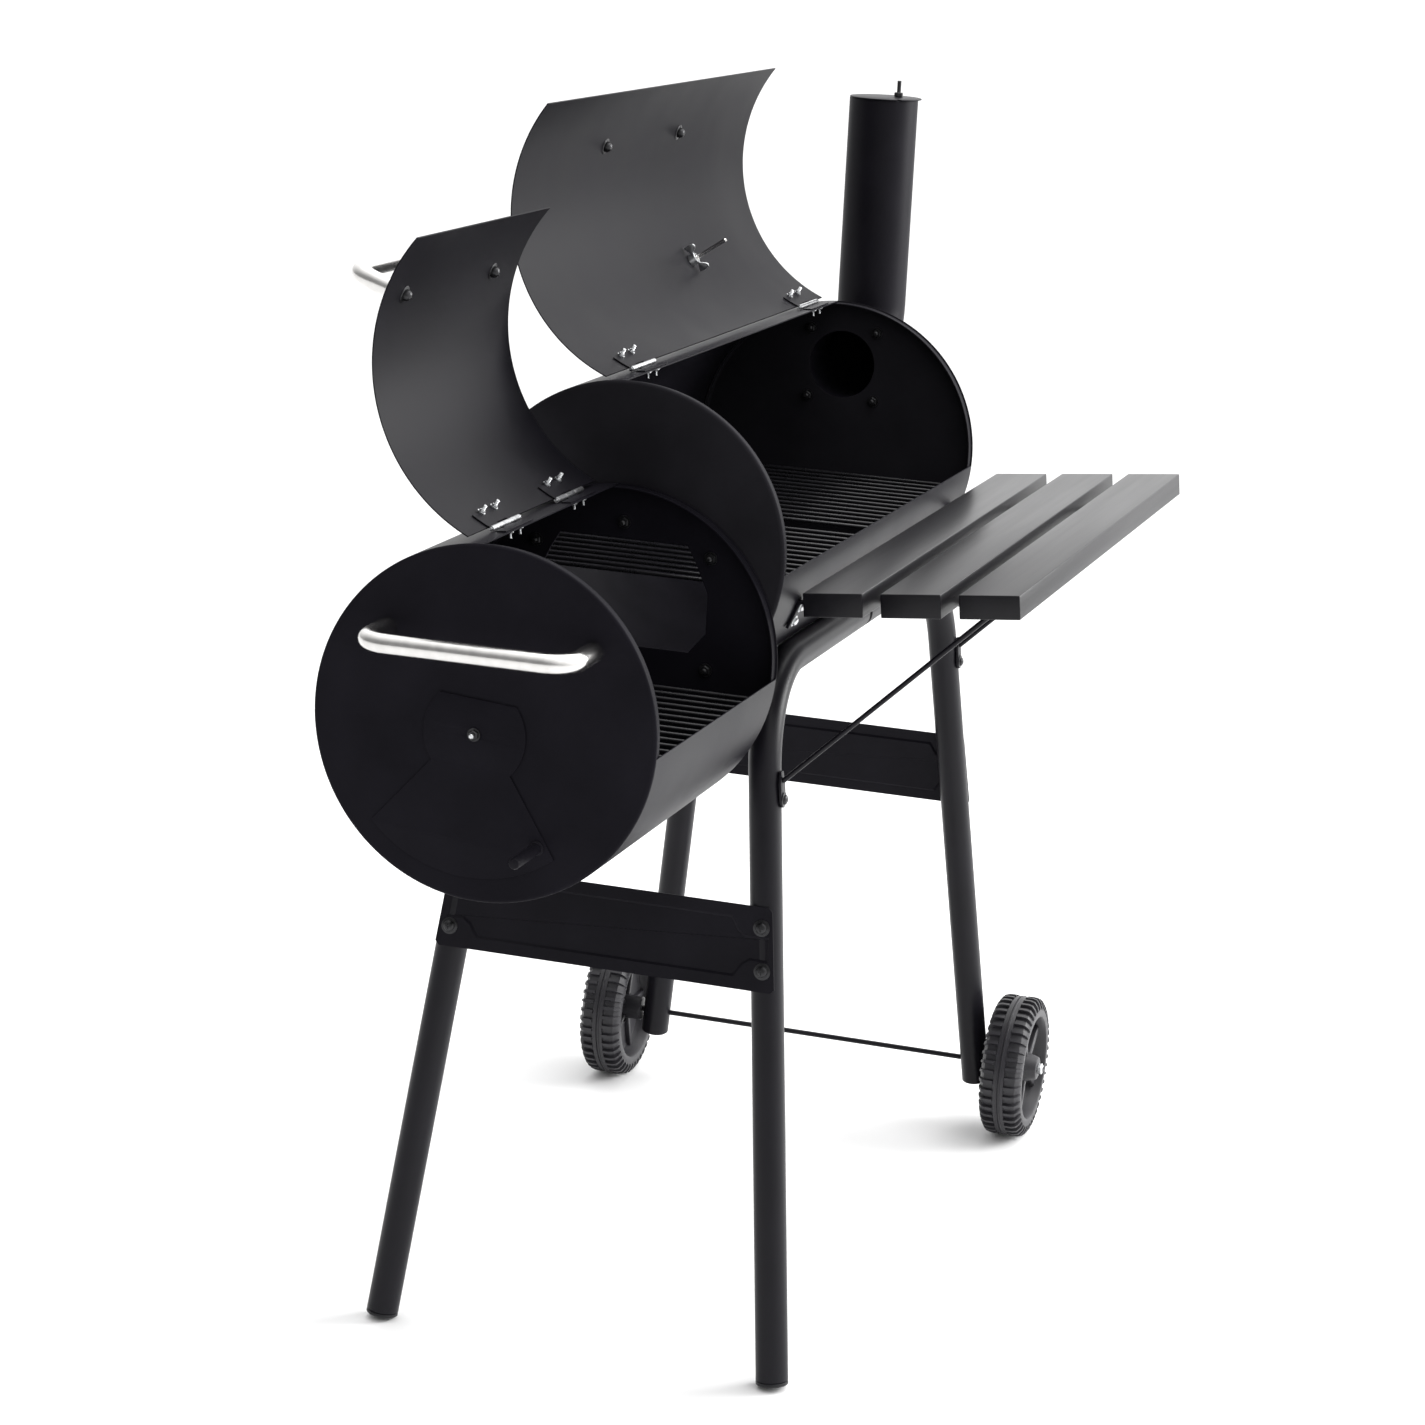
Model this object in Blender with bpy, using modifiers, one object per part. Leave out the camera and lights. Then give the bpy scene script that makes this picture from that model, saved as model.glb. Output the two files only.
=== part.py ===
"""Barrel charcoal grill with an offset fire box, built piece by piece.

Metres, +Z up. X runs along the barrels towards the chimney, -Y is the shelf side, and the origin is on
the ground under the middle of the grill. Most places are given from the centre of the main barrel's
fire box end: spot() turns them into world points. On a barrel, theta climbs from the front over the top.
"""
from math import acos, atan, cos, pi, radians, sin, tan

import bmesh
import bpy
from mathutils import Matrix, Vector

# Driving dimensions
RADIUS = 0.160            # outside of the barrels' sheet
MAIN_LENGTH = 0.724
FIRE_LENGTH = 0.355
FIRE_DROP = 0.0976        # how far the fire box's axis lies below the main barrel's
JOINT_X = -0.2238         # where the two barrels meet
AXIS_Y = 0.0549
AXIS_Z = 0.8072
SHEET = 0.0012
GAP = 0.0003              # kept between pieces that touch
RUNNING_GAP = 0.0006      # round a shank or an axle, whose hole is faceted too
CUT_DEPTH = 0.02
FACET = 5.0               # degrees of arc in one flat of the rolled sheets

# Barrels: the front lip of the opening, and the strip behind it that carries the hinges
LIP_ANGLE = -4.0
STRIP_ANGLE = 92.5
CAP_LIP = 0.0033
CAP_DEPTH = 0.014
CAP_FLANGE = 0.1583
SHEET_INSET = 0.0036

# Lids and hinges
LID_RADIUS = 0.1648
LID_FRONT_ANGLE = -7.8
LID_REAR_ANGLE = 96.8
MAIN_LID_OPEN = 151.0     # degrees from shut
FIRE_LID_OPEN = 148.0
HINGE_ANGLE = 98.0
HINGE_RADIUS = 0.163
KNUCKLE_RADIUS = 0.0026
PIN_RADIUS = 0.0012
HINGE_WIDTH = 0.067
LEAF = 0.001
BARREL_LEAF_RADIUS = 0.1603
LID_LEAF_RADIUS = 0.1621
MAIN_LID_SPAN = (0.002, 0.722)
FIRE_LID_SPAN = (-0.339, -0.016)
MAIN_HINGES = (0.0976, 0.656)
FIRE_HINGES = (-0.2592, -0.096)
BARREL_LEAF_ARC = (93.1, 96.4)
LID_LEAF_ARC = (90.6, 96.5)

# Handles: bent stainless tube
HANDLE_TUBE = 0.009
HANDLE_WALL = 0.0012
HANDLE_BEND = 0.024
LID_HANDLE_ANGLE = 14.5
LID_HANDLE_REACH = 0.050
END_HANDLE_REACH = 0.062
MAIN_HANDLE_FEET = (0.2438, 0.4719)
FIRE_HANDLE_FEET = (-0.2911, -0.0816)
END_HANDLE_FEET = (0.0915, -0.0997)
END_HANDLE_Z = -0.0205

# Frame: bent legs of 32 mm tube, joined in pairs by a slimmer rail inside their upper ends
LEG_TUBE = 0.016
RAIL_TUBE = 0.0139
TUBE_WALL = 0.0012
RAIL_Y = 0.1312
RAIL_Z = -0.1179
LEG_CORNER = 0.0498       # x of the corner that the leg's bend rounds off
LEG_BEND = 0.108
LEG_SLEEVE_END = 0.372
RAIL_END = 0.330
FOOT = (-0.0394, 0.2069, -0.8072)
FAR_FOOT_Z = -0.7504
TUBE_SIDES = 12
PLUG_FLANGE = 0.004
PLUG_DEPTH = 0.020
LEG_MIDDLE_SHIFT = 0.0137  # the frame stands this far towards the chimney from the barrel's middle

# End panels
PANEL_Z = (-0.3796, -0.3726)  # under the fire box, and at the chimney end
PANEL_HEIGHT = 0.083
PANEL_TOP_HALF = 0.1672
PANEL_BOTTOM_HALF = 0.176
PANEL_SHEET = 0.001

# Axle and wheels
AXLE_X = 0.7802
AXLE_Z = -0.7248
AXLE_RADIUS = 0.003
AXLE_HALF = 0.2795
WHEEL_Y = 0.2464
WHEEL_RADIUS = 0.0824

# Shelf
SLAT_X = (-0.005, 0.755)
SLAT_WIDTH = 0.058
SLAT_THICKNESS = 0.023
SLAT_Y = (-0.2098, -0.2849, -0.3600)
SHELF_SLOPE = 0.101
SHELF_EDGE_Y = -0.1808    # the inner edge, at the height SHELF_EDGE_Z
SHELF_EDGE_Z = -0.0229
BAR_X = (0.0872, 0.664)
BAR_WIDTH = 0.020
BAR_SHEET = 0.003
BAR_FRONT_Y = -0.378
TAB_ANGLE = -22.5
TAB_HALF = 0.016
STAY_RADIUS = 0.0025
STAY_FLAT = 0.0027
STAY_TAB = 0.014
STAY_TAB_LENGTH = 0.036
STAY_FOOT_Z = -0.2354
STAY_TOP_Y = -0.3655

# Chimney
CHIMNEY_X = 0.8328
CHIMNEY_Y = -0.0015
CHIMNEY_RADIUS = 0.039
CHIMNEY_BEND = 0.060
CHIMNEY_SIDES = 16
CHIMNEY_TOP = 0.380
CHIMNEY_HOLE_Z = 0.0885
FLANGE_HALF = 0.050
FLANGE_SHEET = 0.002
CAP_RADIUS = 0.0408
CAP_SHIFT = 0.0021
STRAP_WIDTH = 0.012
STUD = (0.0128, -0.0135)  # the stud's place from the pipe's axis
STUD_RADIUS = 0.0025
STUD_HEIGHT = 0.020

# Damper on the fire box's end
DAMPER_Y = 0.0069
DAMPER_Z = -0.1062
DAMPER_TURN = 4.7
DAMPER_HUB = 0.048
DAMPER_REACH = 0.1296
DAMPER_TOP = 0.032
DAMPER_NOTCH = 51.0
DAMPER_HALF_ANGLE = 42.0
VENT_HALF_ANGLE = 30.0
VENT_RADII = (0.056, 0.115)
KNOB_ANGLE = -38.2
KNOB_RADIUS = 0.113
KNOB_LENGTH = 0.057
KNOB_SIZE = 0.0053
KNOB_SHANK = 0.003
PIVOT_SHANK = 0.0025

# Opening between the barrels: half of its outline, from the main axis
HEAT_OUTLINE = ((0.064, 0.0096), (0.073, -0.0058), (0.0866, -0.035), (0.0866, -0.074), (0.070, -0.094))

# Grates of flat bars
GRATE_THICKNESS = 0.004
MAIN_GRATE_TOP = -0.0312
MAIN_GRATE_HALF = 0.1535
MAIN_GRATES = ((0.0495, 0.3540), (0.4030, 0.7075))
MAIN_GRATE_BARS = 13
FIRE_GRATE_TOP = -0.0272  # from the fire box's axis
FIRE_GRATE_HALF = 0.1540
FIRE_GRATE = (-0.338, -0.017)
FIRE_GRATE_BARS = 15
BAR_WIDE = 0.004
GRATE_RIM = 0.006

# Thermometer on the main lid
GAUGE_X = 0.4644
GAUGE_ANGLE = 63.5
GAUGE_RADIUS = 0.029
GAUGE_HEIGHT = 0.012
GAUGE_DIAL = 0.0255
STEM_RADIUS = 0.003
STEM_LENGTH = 0.048

STEM_THREAD = 0.012
DIAL_FLOOR = 0.0025

MATERIALS = {
    "black_enamel": ((0.022, 0.022, 0.025), 0.55, 0.0),
    "black_steel_tube": ((0.020, 0.020, 0.023), 0.45, 0.0),
    "stainless": ((0.70, 0.69, 0.66), 0.28, 1.0),
    "galvanised": ((0.62, 0.63, 0.64), 0.35, 1.0),
    "black_wood": ((0.030, 0.030, 0.032), 0.5, 0.0),
    "black_plastic": ((0.018, 0.018, 0.018), 0.5, 0.0),
    "grate_steel": ((0.05, 0.05, 0.052), 0.4, 0.5),
    "dial_glass": ((0.8, 0.85, 0.85), 0.05, 0.0),
    "needle_red": ((0.5, 0.03, 0.02), 0.4, 0.0),
}


# Scene and helpers

def clear_scene():
    for obj in list(bpy.data.objects):
        bpy.data.objects.remove(obj, do_unlink=True)


def new_collection(name):
    collection = bpy.data.collections.new(name)
    bpy.context.scene.collection.children.link(collection)
    return collection


def new_material(slot):
    colour, roughness, metallic = MATERIALS[slot]
    material = bpy.data.materials.new(slot)
    material.use_nodes = True
    shader = material.node_tree.nodes["Principled BSDF"]
    shader.inputs["Base Color"].default_value = (*colour, 1.0)
    shader.inputs["Roughness"].default_value = roughness
    shader.inputs["Metallic"].default_value = metallic
    return material


def spot(x, y, z):
    """A world point from one given from the centre of the main barrel's fire box end."""
    return Vector((JOINT_X + x, AXIS_Y + y, AXIS_Z + z))


def outward(theta):
    return Vector((0.0, -cos(radians(theta)), sin(radians(theta))))


def on_barrel(theta, radius, x, drop=0.0):
    return spot(x, 0.0, -drop) + outward(theta) * radius


def aim(point, axis, up=(0, 0, 1)):
    """The place of a piece whose own Z runs along axis and whose own X leans towards up."""
    z = Vector(axis).normalized()
    x = Vector(up) - z * z.dot(Vector(up))
    if x.length < 0.1:
        x = Vector((1, 0, 0)) - z * z.x
    x.normalize()
    turn = Matrix((x, z.cross(x), z)).transposed().to_4x4()
    return Matrix.Translation(point) @ turn


def add(name, data, slot, place=Matrix()):
    obj = bpy.data.objects.new(name, data)
    PARTS.objects.link(obj)
    obj.matrix_world = place
    data.materials.clear()
    data.materials.append(bpy.data.materials.get(slot) or new_material(slot))
    return obj


def settled_mesh(obj):
    """The evaluated, welded mesh of an object, in its own space."""
    graph = bpy.context.evaluated_depsgraph_get()
    mesh = bpy.data.meshes.new_from_object(obj.evaluated_get(graph))
    bm = bmesh.new()
    bm.from_mesh(mesh)
    bmesh.ops.remove_doubles(bm, verts=bm.verts, dist=0.00001)
    bm.to_mesh(mesh)
    bm.free()
    mesh.shade_smooth()
    mesh.set_sharp_from_angle(angle=radians(35))
    return mesh


def settle(obj, slot):
    """Swap a curve or modified object for the plain mesh it evaluates to."""
    bpy.context.view_layer.update()
    name, place, mesh = obj.name, obj.matrix_world.copy(), settled_mesh(obj)
    bpy.data.objects.remove(obj, do_unlink=True)
    return add(name, mesh, slot, place)


def turned(name, profile, slot, place, steps=32, ring=False):
    """A profile of (radius, height), outer side from top to bottom, turned about Z."""
    count = len(profile)
    edges = [(i, i + 1) for i in range(count - 1)]
    if ring:
        edges.append((count - 1, 0))
    mesh = bpy.data.meshes.new(name)
    mesh.from_pydata([(r, 0.0, h) for r, h in profile], edges, [])
    obj = add(name, mesh, slot, place)
    screw = obj.modifiers.new("Turn", "SCREW")
    screw.steps = steps
    screw.render_steps = steps
    screw.use_merge_vertices = True
    screw.merge_threshold = 0.00001
    return settle(obj, slot)


def plate(name, loops, thickness, slot, place):
    """A flat plate: the first loop is its outline, the others are its holes."""
    curve = bpy.data.curves.new(name, "CURVE")
    curve.dimensions = "2D"
    curve.fill_mode = "BOTH"
    curve.extrude = thickness / 2
    for loop in loops:
        spline = curve.splines.new("POLY")
        spline.points.add(len(loop) - 1)
        for point, (x, y) in zip(spline.points, loop):
            point.co = (x, y, 0.0, 1.0)
        spline.use_cyclic_u = True
    return settle(add(name, curve, slot, place), slot)


def rounded(points, bend, steps=5):
    """The corners of a path rounded to one bend radius."""
    points = [Vector(p) for p in points]
    path = [points[0]]
    for before, corner, after in zip(points, points[1:], points[2:]):
        back = (before - corner).normalized()
        ahead = (after - corner).normalized()
        turn = pi - back.angle(ahead)
        start = corner + back * bend * tan(turn / 2)
        centre = corner + (back + ahead).normalized() * bend / cos(turn / 2)
        spin = (-back).cross(ahead)
        for step in range(steps + 1):
            path.append(centre + Matrix.Rotation(turn * step / steps, 3, spin) @ (start - centre))
    path.append(points[-1])
    return path


def tube(name, path, radius, slot, wall=0.0, sides=TUBE_SIDES):
    """A round rod along a path, or a hollow tube where it has a wall."""
    curve = bpy.data.curves.new(name, "CURVE")
    curve.dimensions = "3D"
    curve.bevel_depth = radius
    curve.bevel_resolution = (sides - 4) // 2
    curve.use_fill_caps = wall == 0.0
    spline = curve.splines.new("POLY")
    spline.points.add(len(path) - 1)
    for point, place in zip(spline.points, path):
        point.co = (*place, 1.0)
    obj = settle(add(name, curve, slot), slot)
    if wall:
        hollow = obj.modifiers.new("Wall", "SOLIDIFY")
        hollow.thickness = wall
        hollow.offset = -1
        obj = settle(obj, slot)
    return obj


def rolled_sheet(name, radius, start, sweep, span, drop, slot, thickness=SHEET, facet=FACET):
    """A sheet rolled about a barrel's axis, from theta start downwards round the back."""
    first = outward(start) * radius
    mesh = bpy.data.meshes.new(name)
    mesh.from_pydata([(span[1], first.y, first.z), (span[0], first.y, first.z)], [(0, 1)], [])
    obj = add(name, mesh, slot, Matrix.Translation(spot(0, 0, -drop)))
    steps = round(sweep / facet)
    screw = obj.modifiers.new("Roll", "SCREW")
    screw.axis = "X"
    screw.angle = radians(sweep)
    screw.steps = steps
    screw.render_steps = steps
    solid = obj.modifiers.new("Sheet", "SOLIDIFY")
    solid.thickness = thickness
    solid.offset = -1
    return settle(obj, slot)


def block(name, size, slot, place, bevel=0.0):
    bm = bmesh.new()
    bmesh.ops.create_cube(bm, size=1.0, matrix=Matrix.Diagonal((*size, 1.0)))
    mesh = bpy.data.meshes.new(name)
    bm.to_mesh(mesh)
    bm.free()
    obj = add(name, mesh, slot, place)
    if bevel:
        edge = obj.modifiers.new("Edges", "BEVEL")
        edge.width = bevel
        edge.segments = 1
    return obj


def hide_cutter(cutter):
    for collection in list(cutter.users_collection):
        collection.objects.unlink(cutter)
    CUTTERS.objects.link(cutter)
    cutter.hide_render = True
    cutter.display_type = "WIRE"


def combine(target, tool, operation):
    boolean = target.modifiers.new(operation.title(), "BOOLEAN")
    boolean.operation = operation
    boolean.solver = "EXACT"
    boolean.object = tool
    slot = target.data.materials[0].name
    return settle(target, slot)


def drill(target, point, axis, radius, depth, segments=10):
    """A round hole through a piece."""
    bm = bmesh.new()
    bmesh.ops.create_cone(bm, cap_ends=True, segments=segments, radius1=radius, radius2=radius, depth=depth)
    mesh = bpy.data.meshes.new(target.name + "_drill")
    bm.to_mesh(mesh)
    bm.free()
    tool = bpy.data.objects.new(mesh.name, mesh)
    hide_cutter(tool)
    tool.matrix_world = aim(point, axis)
    return combine(target, tool, "DIFFERENCE")


def circle(x, y, radius, count=8):
    return [(x + radius * cos(2 * pi * i / count), y + radius * sin(2 * pi * i / count)) for i in range(count)]


def strip(points, thickness):
    """The outline of a bent flat strip, from its centre line."""
    points = [Vector(p) for p in points]
    left, right = [], []
    for i, point in enumerate(points):
        before = (point - points[i - 1]).normalized() if i else None
        after = (points[i + 1] - point).normalized() if i < len(points) - 1 else None
        way = ((before or after) + (after or before)).normalized()
        normal = Vector((-way.y, way.x))
        side = Vector((-(before or after).y, (before or after).x))
        reach = thickness / 2 / normal.dot(side)
        left.append(tuple(point + normal * reach))
        right.append(tuple(point - normal * reach))
    return left + right[::-1]


def side_view(x):
    """The place of a plate drawn in (y, z) and extruded along X."""
    return Matrix.Translation(spot(x, 0, 0)) @ Matrix(((0, 0, 1, 0), (1, 0, 0, 0), (0, 1, 0, 0), (0, 0, 0, 1)))


# Lids' hinge axes

def hinge_empty(name, drop, opening):
    empty = bpy.data.objects.new(name, None)
    PARTS.objects.link(empty)
    axis = on_barrel(HINGE_ANGLE, HINGE_RADIUS, 0.0, drop)
    empty.matrix_world = Matrix.Translation(axis) @ Matrix.Rotation(-radians(opening), 4, "X")
    return empty, Matrix.Translation(-axis)


def hang(pieces, hinge):
    """Hang pieces, modelled with the lid shut, on the lid's hinge axis."""
    empty, unshift = hinge
    for piece in pieces:
        piece.parent = empty
        piece.matrix_parent_inverse = unshift


# Barrels

def end_cap(name, x, way, drop):
    """A pressed end cap; way is +1 or -1, the way its face looks along X."""
    profile = [(0.0, 0.0), (0.1582, 0.0), (RADIUS, -0.0022), (RADIUS, -CAP_LIP),
               (CAP_FLANGE, -CAP_LIP), (CAP_FLANGE, -CAP_DEPTH), (CAP_FLANGE - SHEET, -CAP_DEPTH),
               (CAP_FLANGE - SHEET, -SHEET), (0.0, -SHEET)]
    return turned(name, profile, "black_enamel", aim(spot(x, 0, -drop), (way, 0, 0)), steps=48)


def cut_outline(target, outline, place):
    tool = plate(target.name + "_cut", [outline], CUT_DEPTH, "black_enamel", place)
    hide_cutter(tool)
    return combine(target, tool, "DIFFERENCE")


def sector(low, high, half_angle, steps=6):
    """A ring sector that hangs down from the damper's pivot, in (y, z)."""
    angles = [radians(half_angle * (2 * i / steps - 1)) for i in range(steps + 1)]
    outer = [(high * sin(a), -high * cos(a)) for a in angles]
    inner = [(low * sin(a), -low * cos(a)) for a in reversed(angles)]
    return outer + inner


def build_barrels():
    sweep = 360.0 - STRIP_ANGLE + LIP_ANGLE
    for name, start, end, drop in (("main_barrel", 0.0, MAIN_LENGTH, 0.0),
                                   ("firebox_barrel", -FIRE_LENGTH, -GAP, FIRE_DROP)):
        span = (start + SHEET_INSET, end - SHEET_INSET)
        rolled_sheet(name, RADIUS, LIP_ANGLE, sweep, span, drop, "black_enamel")
    near = end_cap("main_end_cap_firebox_side", 0.0, -1, 0.0)
    far = end_cap("main_end_cap_chimney_side", MAIN_LENGTH, 1, 0.0)
    inner = end_cap("firebox_end_cap_inner", -GAP, 1, FIRE_DROP)
    outer = end_cap("firebox_end_cap_outer", -FIRE_LENGTH, -1, FIRE_DROP)
    half = list(HEAT_OUTLINE)
    outline = half + [(-y, z) for y, z in reversed(half)]
    for cap in (near, inner):
        cut_outline(cap, outline, side_view(0))
    flue = spot(MAIN_LENGTH, CHIMNEY_Y, CHIMNEY_HOLE_Z)
    drill(far, flue, (1, 0, 0), CHIMNEY_RADIUS - SHEET, CUT_DEPTH, 24)
    pivot = side_view(-FIRE_LENGTH) @ Matrix.Translation((DAMPER_Y, DAMPER_Z, 0))
    outer = cut_outline(outer, sector(*VENT_RADII, VENT_HALF_ANGLE), pivot)
    drill(outer, pivot.translation, (1, 0, 0), PIVOT_SHANK + RUNNING_GAP, CUT_DEPTH)


# Hinges

def hinge_leaf(name, centre, drop, radius, angles, knuckles):
    """One leaf: a strip rolled to the barrel, with tongues that carry knuckles bored for the pin."""
    half = HINGE_WIDTH / 2
    leaf = rolled_sheet(name, radius + LEAF, angles[1], angles[1] - angles[0], (centre - half, centre + half),
                        drop, "galvanised", thickness=LEAF, facet=(angles[1] - angles[0]) / 2)
    away = outward(HINGE_ANGLE)
    forward = away.cross(Vector((1, 0, 0)))
    if forward.y > 0:
        forward = -forward
    level = radius + LEAF / 2 - HINGE_RADIUS
    reach = radians(HINGE_ANGLE - angles[1]) * radius + 0.0008
    near_end = PIN_RADIUS + 2 * GAP if abs(level) < PIN_RADIUS + LEAF else 0.0
    for start, end in knuckles:
        axis = on_barrel(HINGE_ANGLE, HINGE_RADIUS, centre + (start + end) / 2, drop)
        width = end - start
        ring = turned("knuckle", [(KNUCKLE_RADIUS, width / 2), (KNUCKLE_RADIUS, -width / 2),
                                  (PIN_RADIUS + GAP, -width / 2), (PIN_RADIUS + GAP, width / 2)],
                      "galvanised", aim(axis, (1, 0, 0)), steps=12, ring=True)
        middle = axis + forward * (reach + near_end) / 2 + away * level
        tongue = block("tongue", (LEAF * 0.94, reach - near_end, width), "galvanised",
                       aim(middle, (1, 0, 0), away))
        for tool in (ring, tongue):
            hide_cutter(tool)
            leaf = combine(leaf, tool, "UNION")
    return leaf


def build_hinges(lid_hinges):
    third = HINGE_WIDTH / 6
    middle_knuckle = [(-third, third)]
    side_knuckles = [(-3 * third, -third - GAP), (third + GAP, 3 * third)]
    half = HINGE_WIDTH / 2
    pin = [(0.0, half), (PIN_RADIUS, half), (PIN_RADIUS, -half), (0.0, -half)]
    for prefix, hinges, drop, hinge in (("main", MAIN_HINGES, 0.0, lid_hinges[0]),
                                        ("firebox", FIRE_HINGES, FIRE_DROP, lid_hinges[1])):
        for side, x in zip(("left", "right"), hinges):
            hinge_leaf(f"{prefix}_barrel_hinge_leaf_{side}", x, drop, BARREL_LEAF_RADIUS, BARREL_LEAF_ARC,
                       middle_knuckle)
            leaf = hinge_leaf(f"{prefix}_lid_hinge_leaf_{side}", x, drop, LID_LEAF_RADIUS, LID_LEAF_ARC,
                              side_knuckles)
            hang([leaf], hinge)
            axis = on_barrel(HINGE_ANGLE, HINGE_RADIUS, x, drop)
            turned(f"{prefix}_hinge_pin_{side}", pin, "galvanised", aim(axis, (1, 0, 0)), steps=10)


# Lids

def build_lid(prefix, span, feet, drop, hinge):
    lid = rolled_sheet(f"{prefix}_lid", LID_RADIUS, LID_REAR_ANGLE, LID_REAR_ANGLE - LID_FRONT_ANGLE,
                       span, drop, "black_enamel")
    foot, top = LID_RADIUS + GAP, LID_RADIUS + LID_HANDLE_REACH
    points = [on_barrel(LID_HANDLE_ANGLE, radius, x, drop)
              for x, radius in ((feet[0], foot), (feet[0], top), (feet[1], top), (feet[1], foot))]
    handle = tube(f"{prefix}_lid_handle", rounded(points, HANDLE_BEND), HANDLE_TUBE, "stainless", HANDLE_WALL)
    return lid, handle


def build_thermometer(hinge):
    """A dial outside the lid, its probe through the sheet and a wing nut inside."""
    place = aim(on_barrel(GAUGE_ANGLE, LID_RADIUS + GAP, GAUGE_X), outward(GAUGE_ANGLE), (-1, 0, 0))
    probe = STEM_RADIUS * 0.7
    case = turned("thermometer_case",
                  [(0.0, DIAL_FLOOR), (GAUGE_DIAL, DIAL_FLOOR), (GAUGE_DIAL, GAUGE_HEIGHT),
                   (GAUGE_RADIUS, GAUGE_HEIGHT - 0.002), (GAUGE_RADIUS, 0.0), (STEM_RADIUS, 0.0),
                   (STEM_RADIUS, -STEM_THREAD), (probe, -STEM_THREAD - 0.001), (probe, -STEM_LENGTH),
                   (0.0, -STEM_LENGTH)], "stainless", place, steps=24)
    glass_edge = GAUGE_DIAL * cos(pi / 24) - GAP
    glass = turned("thermometer_glass", [(0.0, 0.0105), (glass_edge, 0.0105), (glass_edge, 0.009), (0.0, 0.009)],
                   "dial_glass", place, steps=24)
    needle = block("thermometer_needle", (0.021, 0.0018, 0.0008), "needle_red",
                   place @ Matrix.Translation((0.0065, 0, 0.0062)))
    top = -SHEET - 3 * GAP
    bore = STEM_RADIUS + GAP
    nut = turned("thermometer_wing_nut", [(0.0065, top), (0.0055, top - 0.007), (bore, top - 0.007), (bore, top)],
                 "galvanised", place, steps=12, ring=True)
    for side in (-1, 1):
        wing = block("wing", (0.011, 0.002, 0.011), "galvanised",
                     place @ Matrix.Translation((side * 0.0105, 0, top - 0.0065)))
        hide_cutter(wing)
        nut = combine(nut, wing, "UNION")
    hang([case, glass, needle, nut], hinge)


# Handle and damper on the fire box's end

def build_end_fittings():
    face = -FIRE_LENGTH - GAP
    reach = -FIRE_LENGTH - END_HANDLE_REACH
    feet = END_HANDLE_FEET
    points = [spot(x, y, END_HANDLE_Z) for x, y in ((face, feet[0]), (reach, feet[0]), (reach, feet[1]),
                                                    (face, feet[1]))]
    tube("end_handle", rounded(points, HANDLE_BEND), HANDLE_TUBE, "stainless", HANDLE_WALL)

    place = (side_view(face - SHEET / 2) @ Matrix.Translation((DAMPER_Y, DAMPER_Z, 0))
             @ Matrix.Rotation(radians(DAMPER_TURN), 4, "Z"))
    blade = [radians(DAMPER_HALF_ANGLE * (i / 6 - 1)) for i in range(13)]
    top = pi - acos(DAMPER_TOP / DAMPER_HUB)
    notch = radians(DAMPER_NOTCH)
    hub = [notch + (top - notch) * i / 6 for i in range(7)]
    right = [(DAMPER_HUB * sin(a), -DAMPER_HUB * cos(a)) for a in hub]
    outline = [(DAMPER_REACH * sin(a), -DAMPER_REACH * cos(a)) for a in blade]
    outline += right + [(-y, z) for y, z in reversed(right)]
    knob = radians(KNOB_ANGLE)
    knob_spot = (KNOB_RADIUS * sin(knob), -KNOB_RADIUS * cos(knob))
    holes = [circle(0, 0, PIVOT_SHANK + RUNNING_GAP), circle(*knob_spot, KNOB_SHANK + RUNNING_GAP)]
    plate("air_damper", [outline] + holes, SHEET, "black_enamel", place)
    back = SHEET / 2
    turned("damper_peg", [(0.0, KNOB_LENGTH), (KNOB_SIZE - 0.0015, KNOB_LENGTH), (KNOB_SIZE, KNOB_LENGTH - 0.0015),
                          (KNOB_SIZE, back + GAP), (KNOB_SHANK, back + GAP), (KNOB_SHANK, -back), (0.0, -back)],
           "black_enamel", aim(place @ Vector((*knob_spot, 0.0)), (-1, 0, 0)), steps=12)
    grip = 2 * SHEET + 3 * GAP
    nut = grip + 0.0045
    turned("damper_pivot_screw", [(0.0, 0.0035), (0.0055, 0.001), (0.0055, 0.0), (PIVOT_SHANK, 0.0),
                                  (PIVOT_SHANK, -grip), (0.005, -grip), (0.005, -nut), (PIVOT_SHANK, -nut),
                                  (PIVOT_SHANK, -nut - 0.006), (0.0, -nut - 0.006)],
           "galvanised", aim(spot(face - SHEET - GAP, DAMPER_Y, DAMPER_Z), (-1, 0, 0)), steps=12)


# Frame

def leg_direction():
    return (Vector(FOOT) - Vector((LEG_CORNER, RAIL_Y, RAIL_Z))).normalized()


def leg_point(z, far, side):
    """A point on a leg's axis at height z; far is True at the chimney end."""
    corner = Vector((LEG_CORNER, RAIL_Y, RAIL_Z))
    return place_of_leg(corner + leg_direction() * (z - RAIL_Z) / leg_direction().z, far, side)


def place_of_leg(point, far, side):
    x = MAIN_LENGTH + 2 * LEG_MIDDLE_SHIFT - point.x if far else point.x
    return spot(x, side * point.y, point.z)


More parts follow.
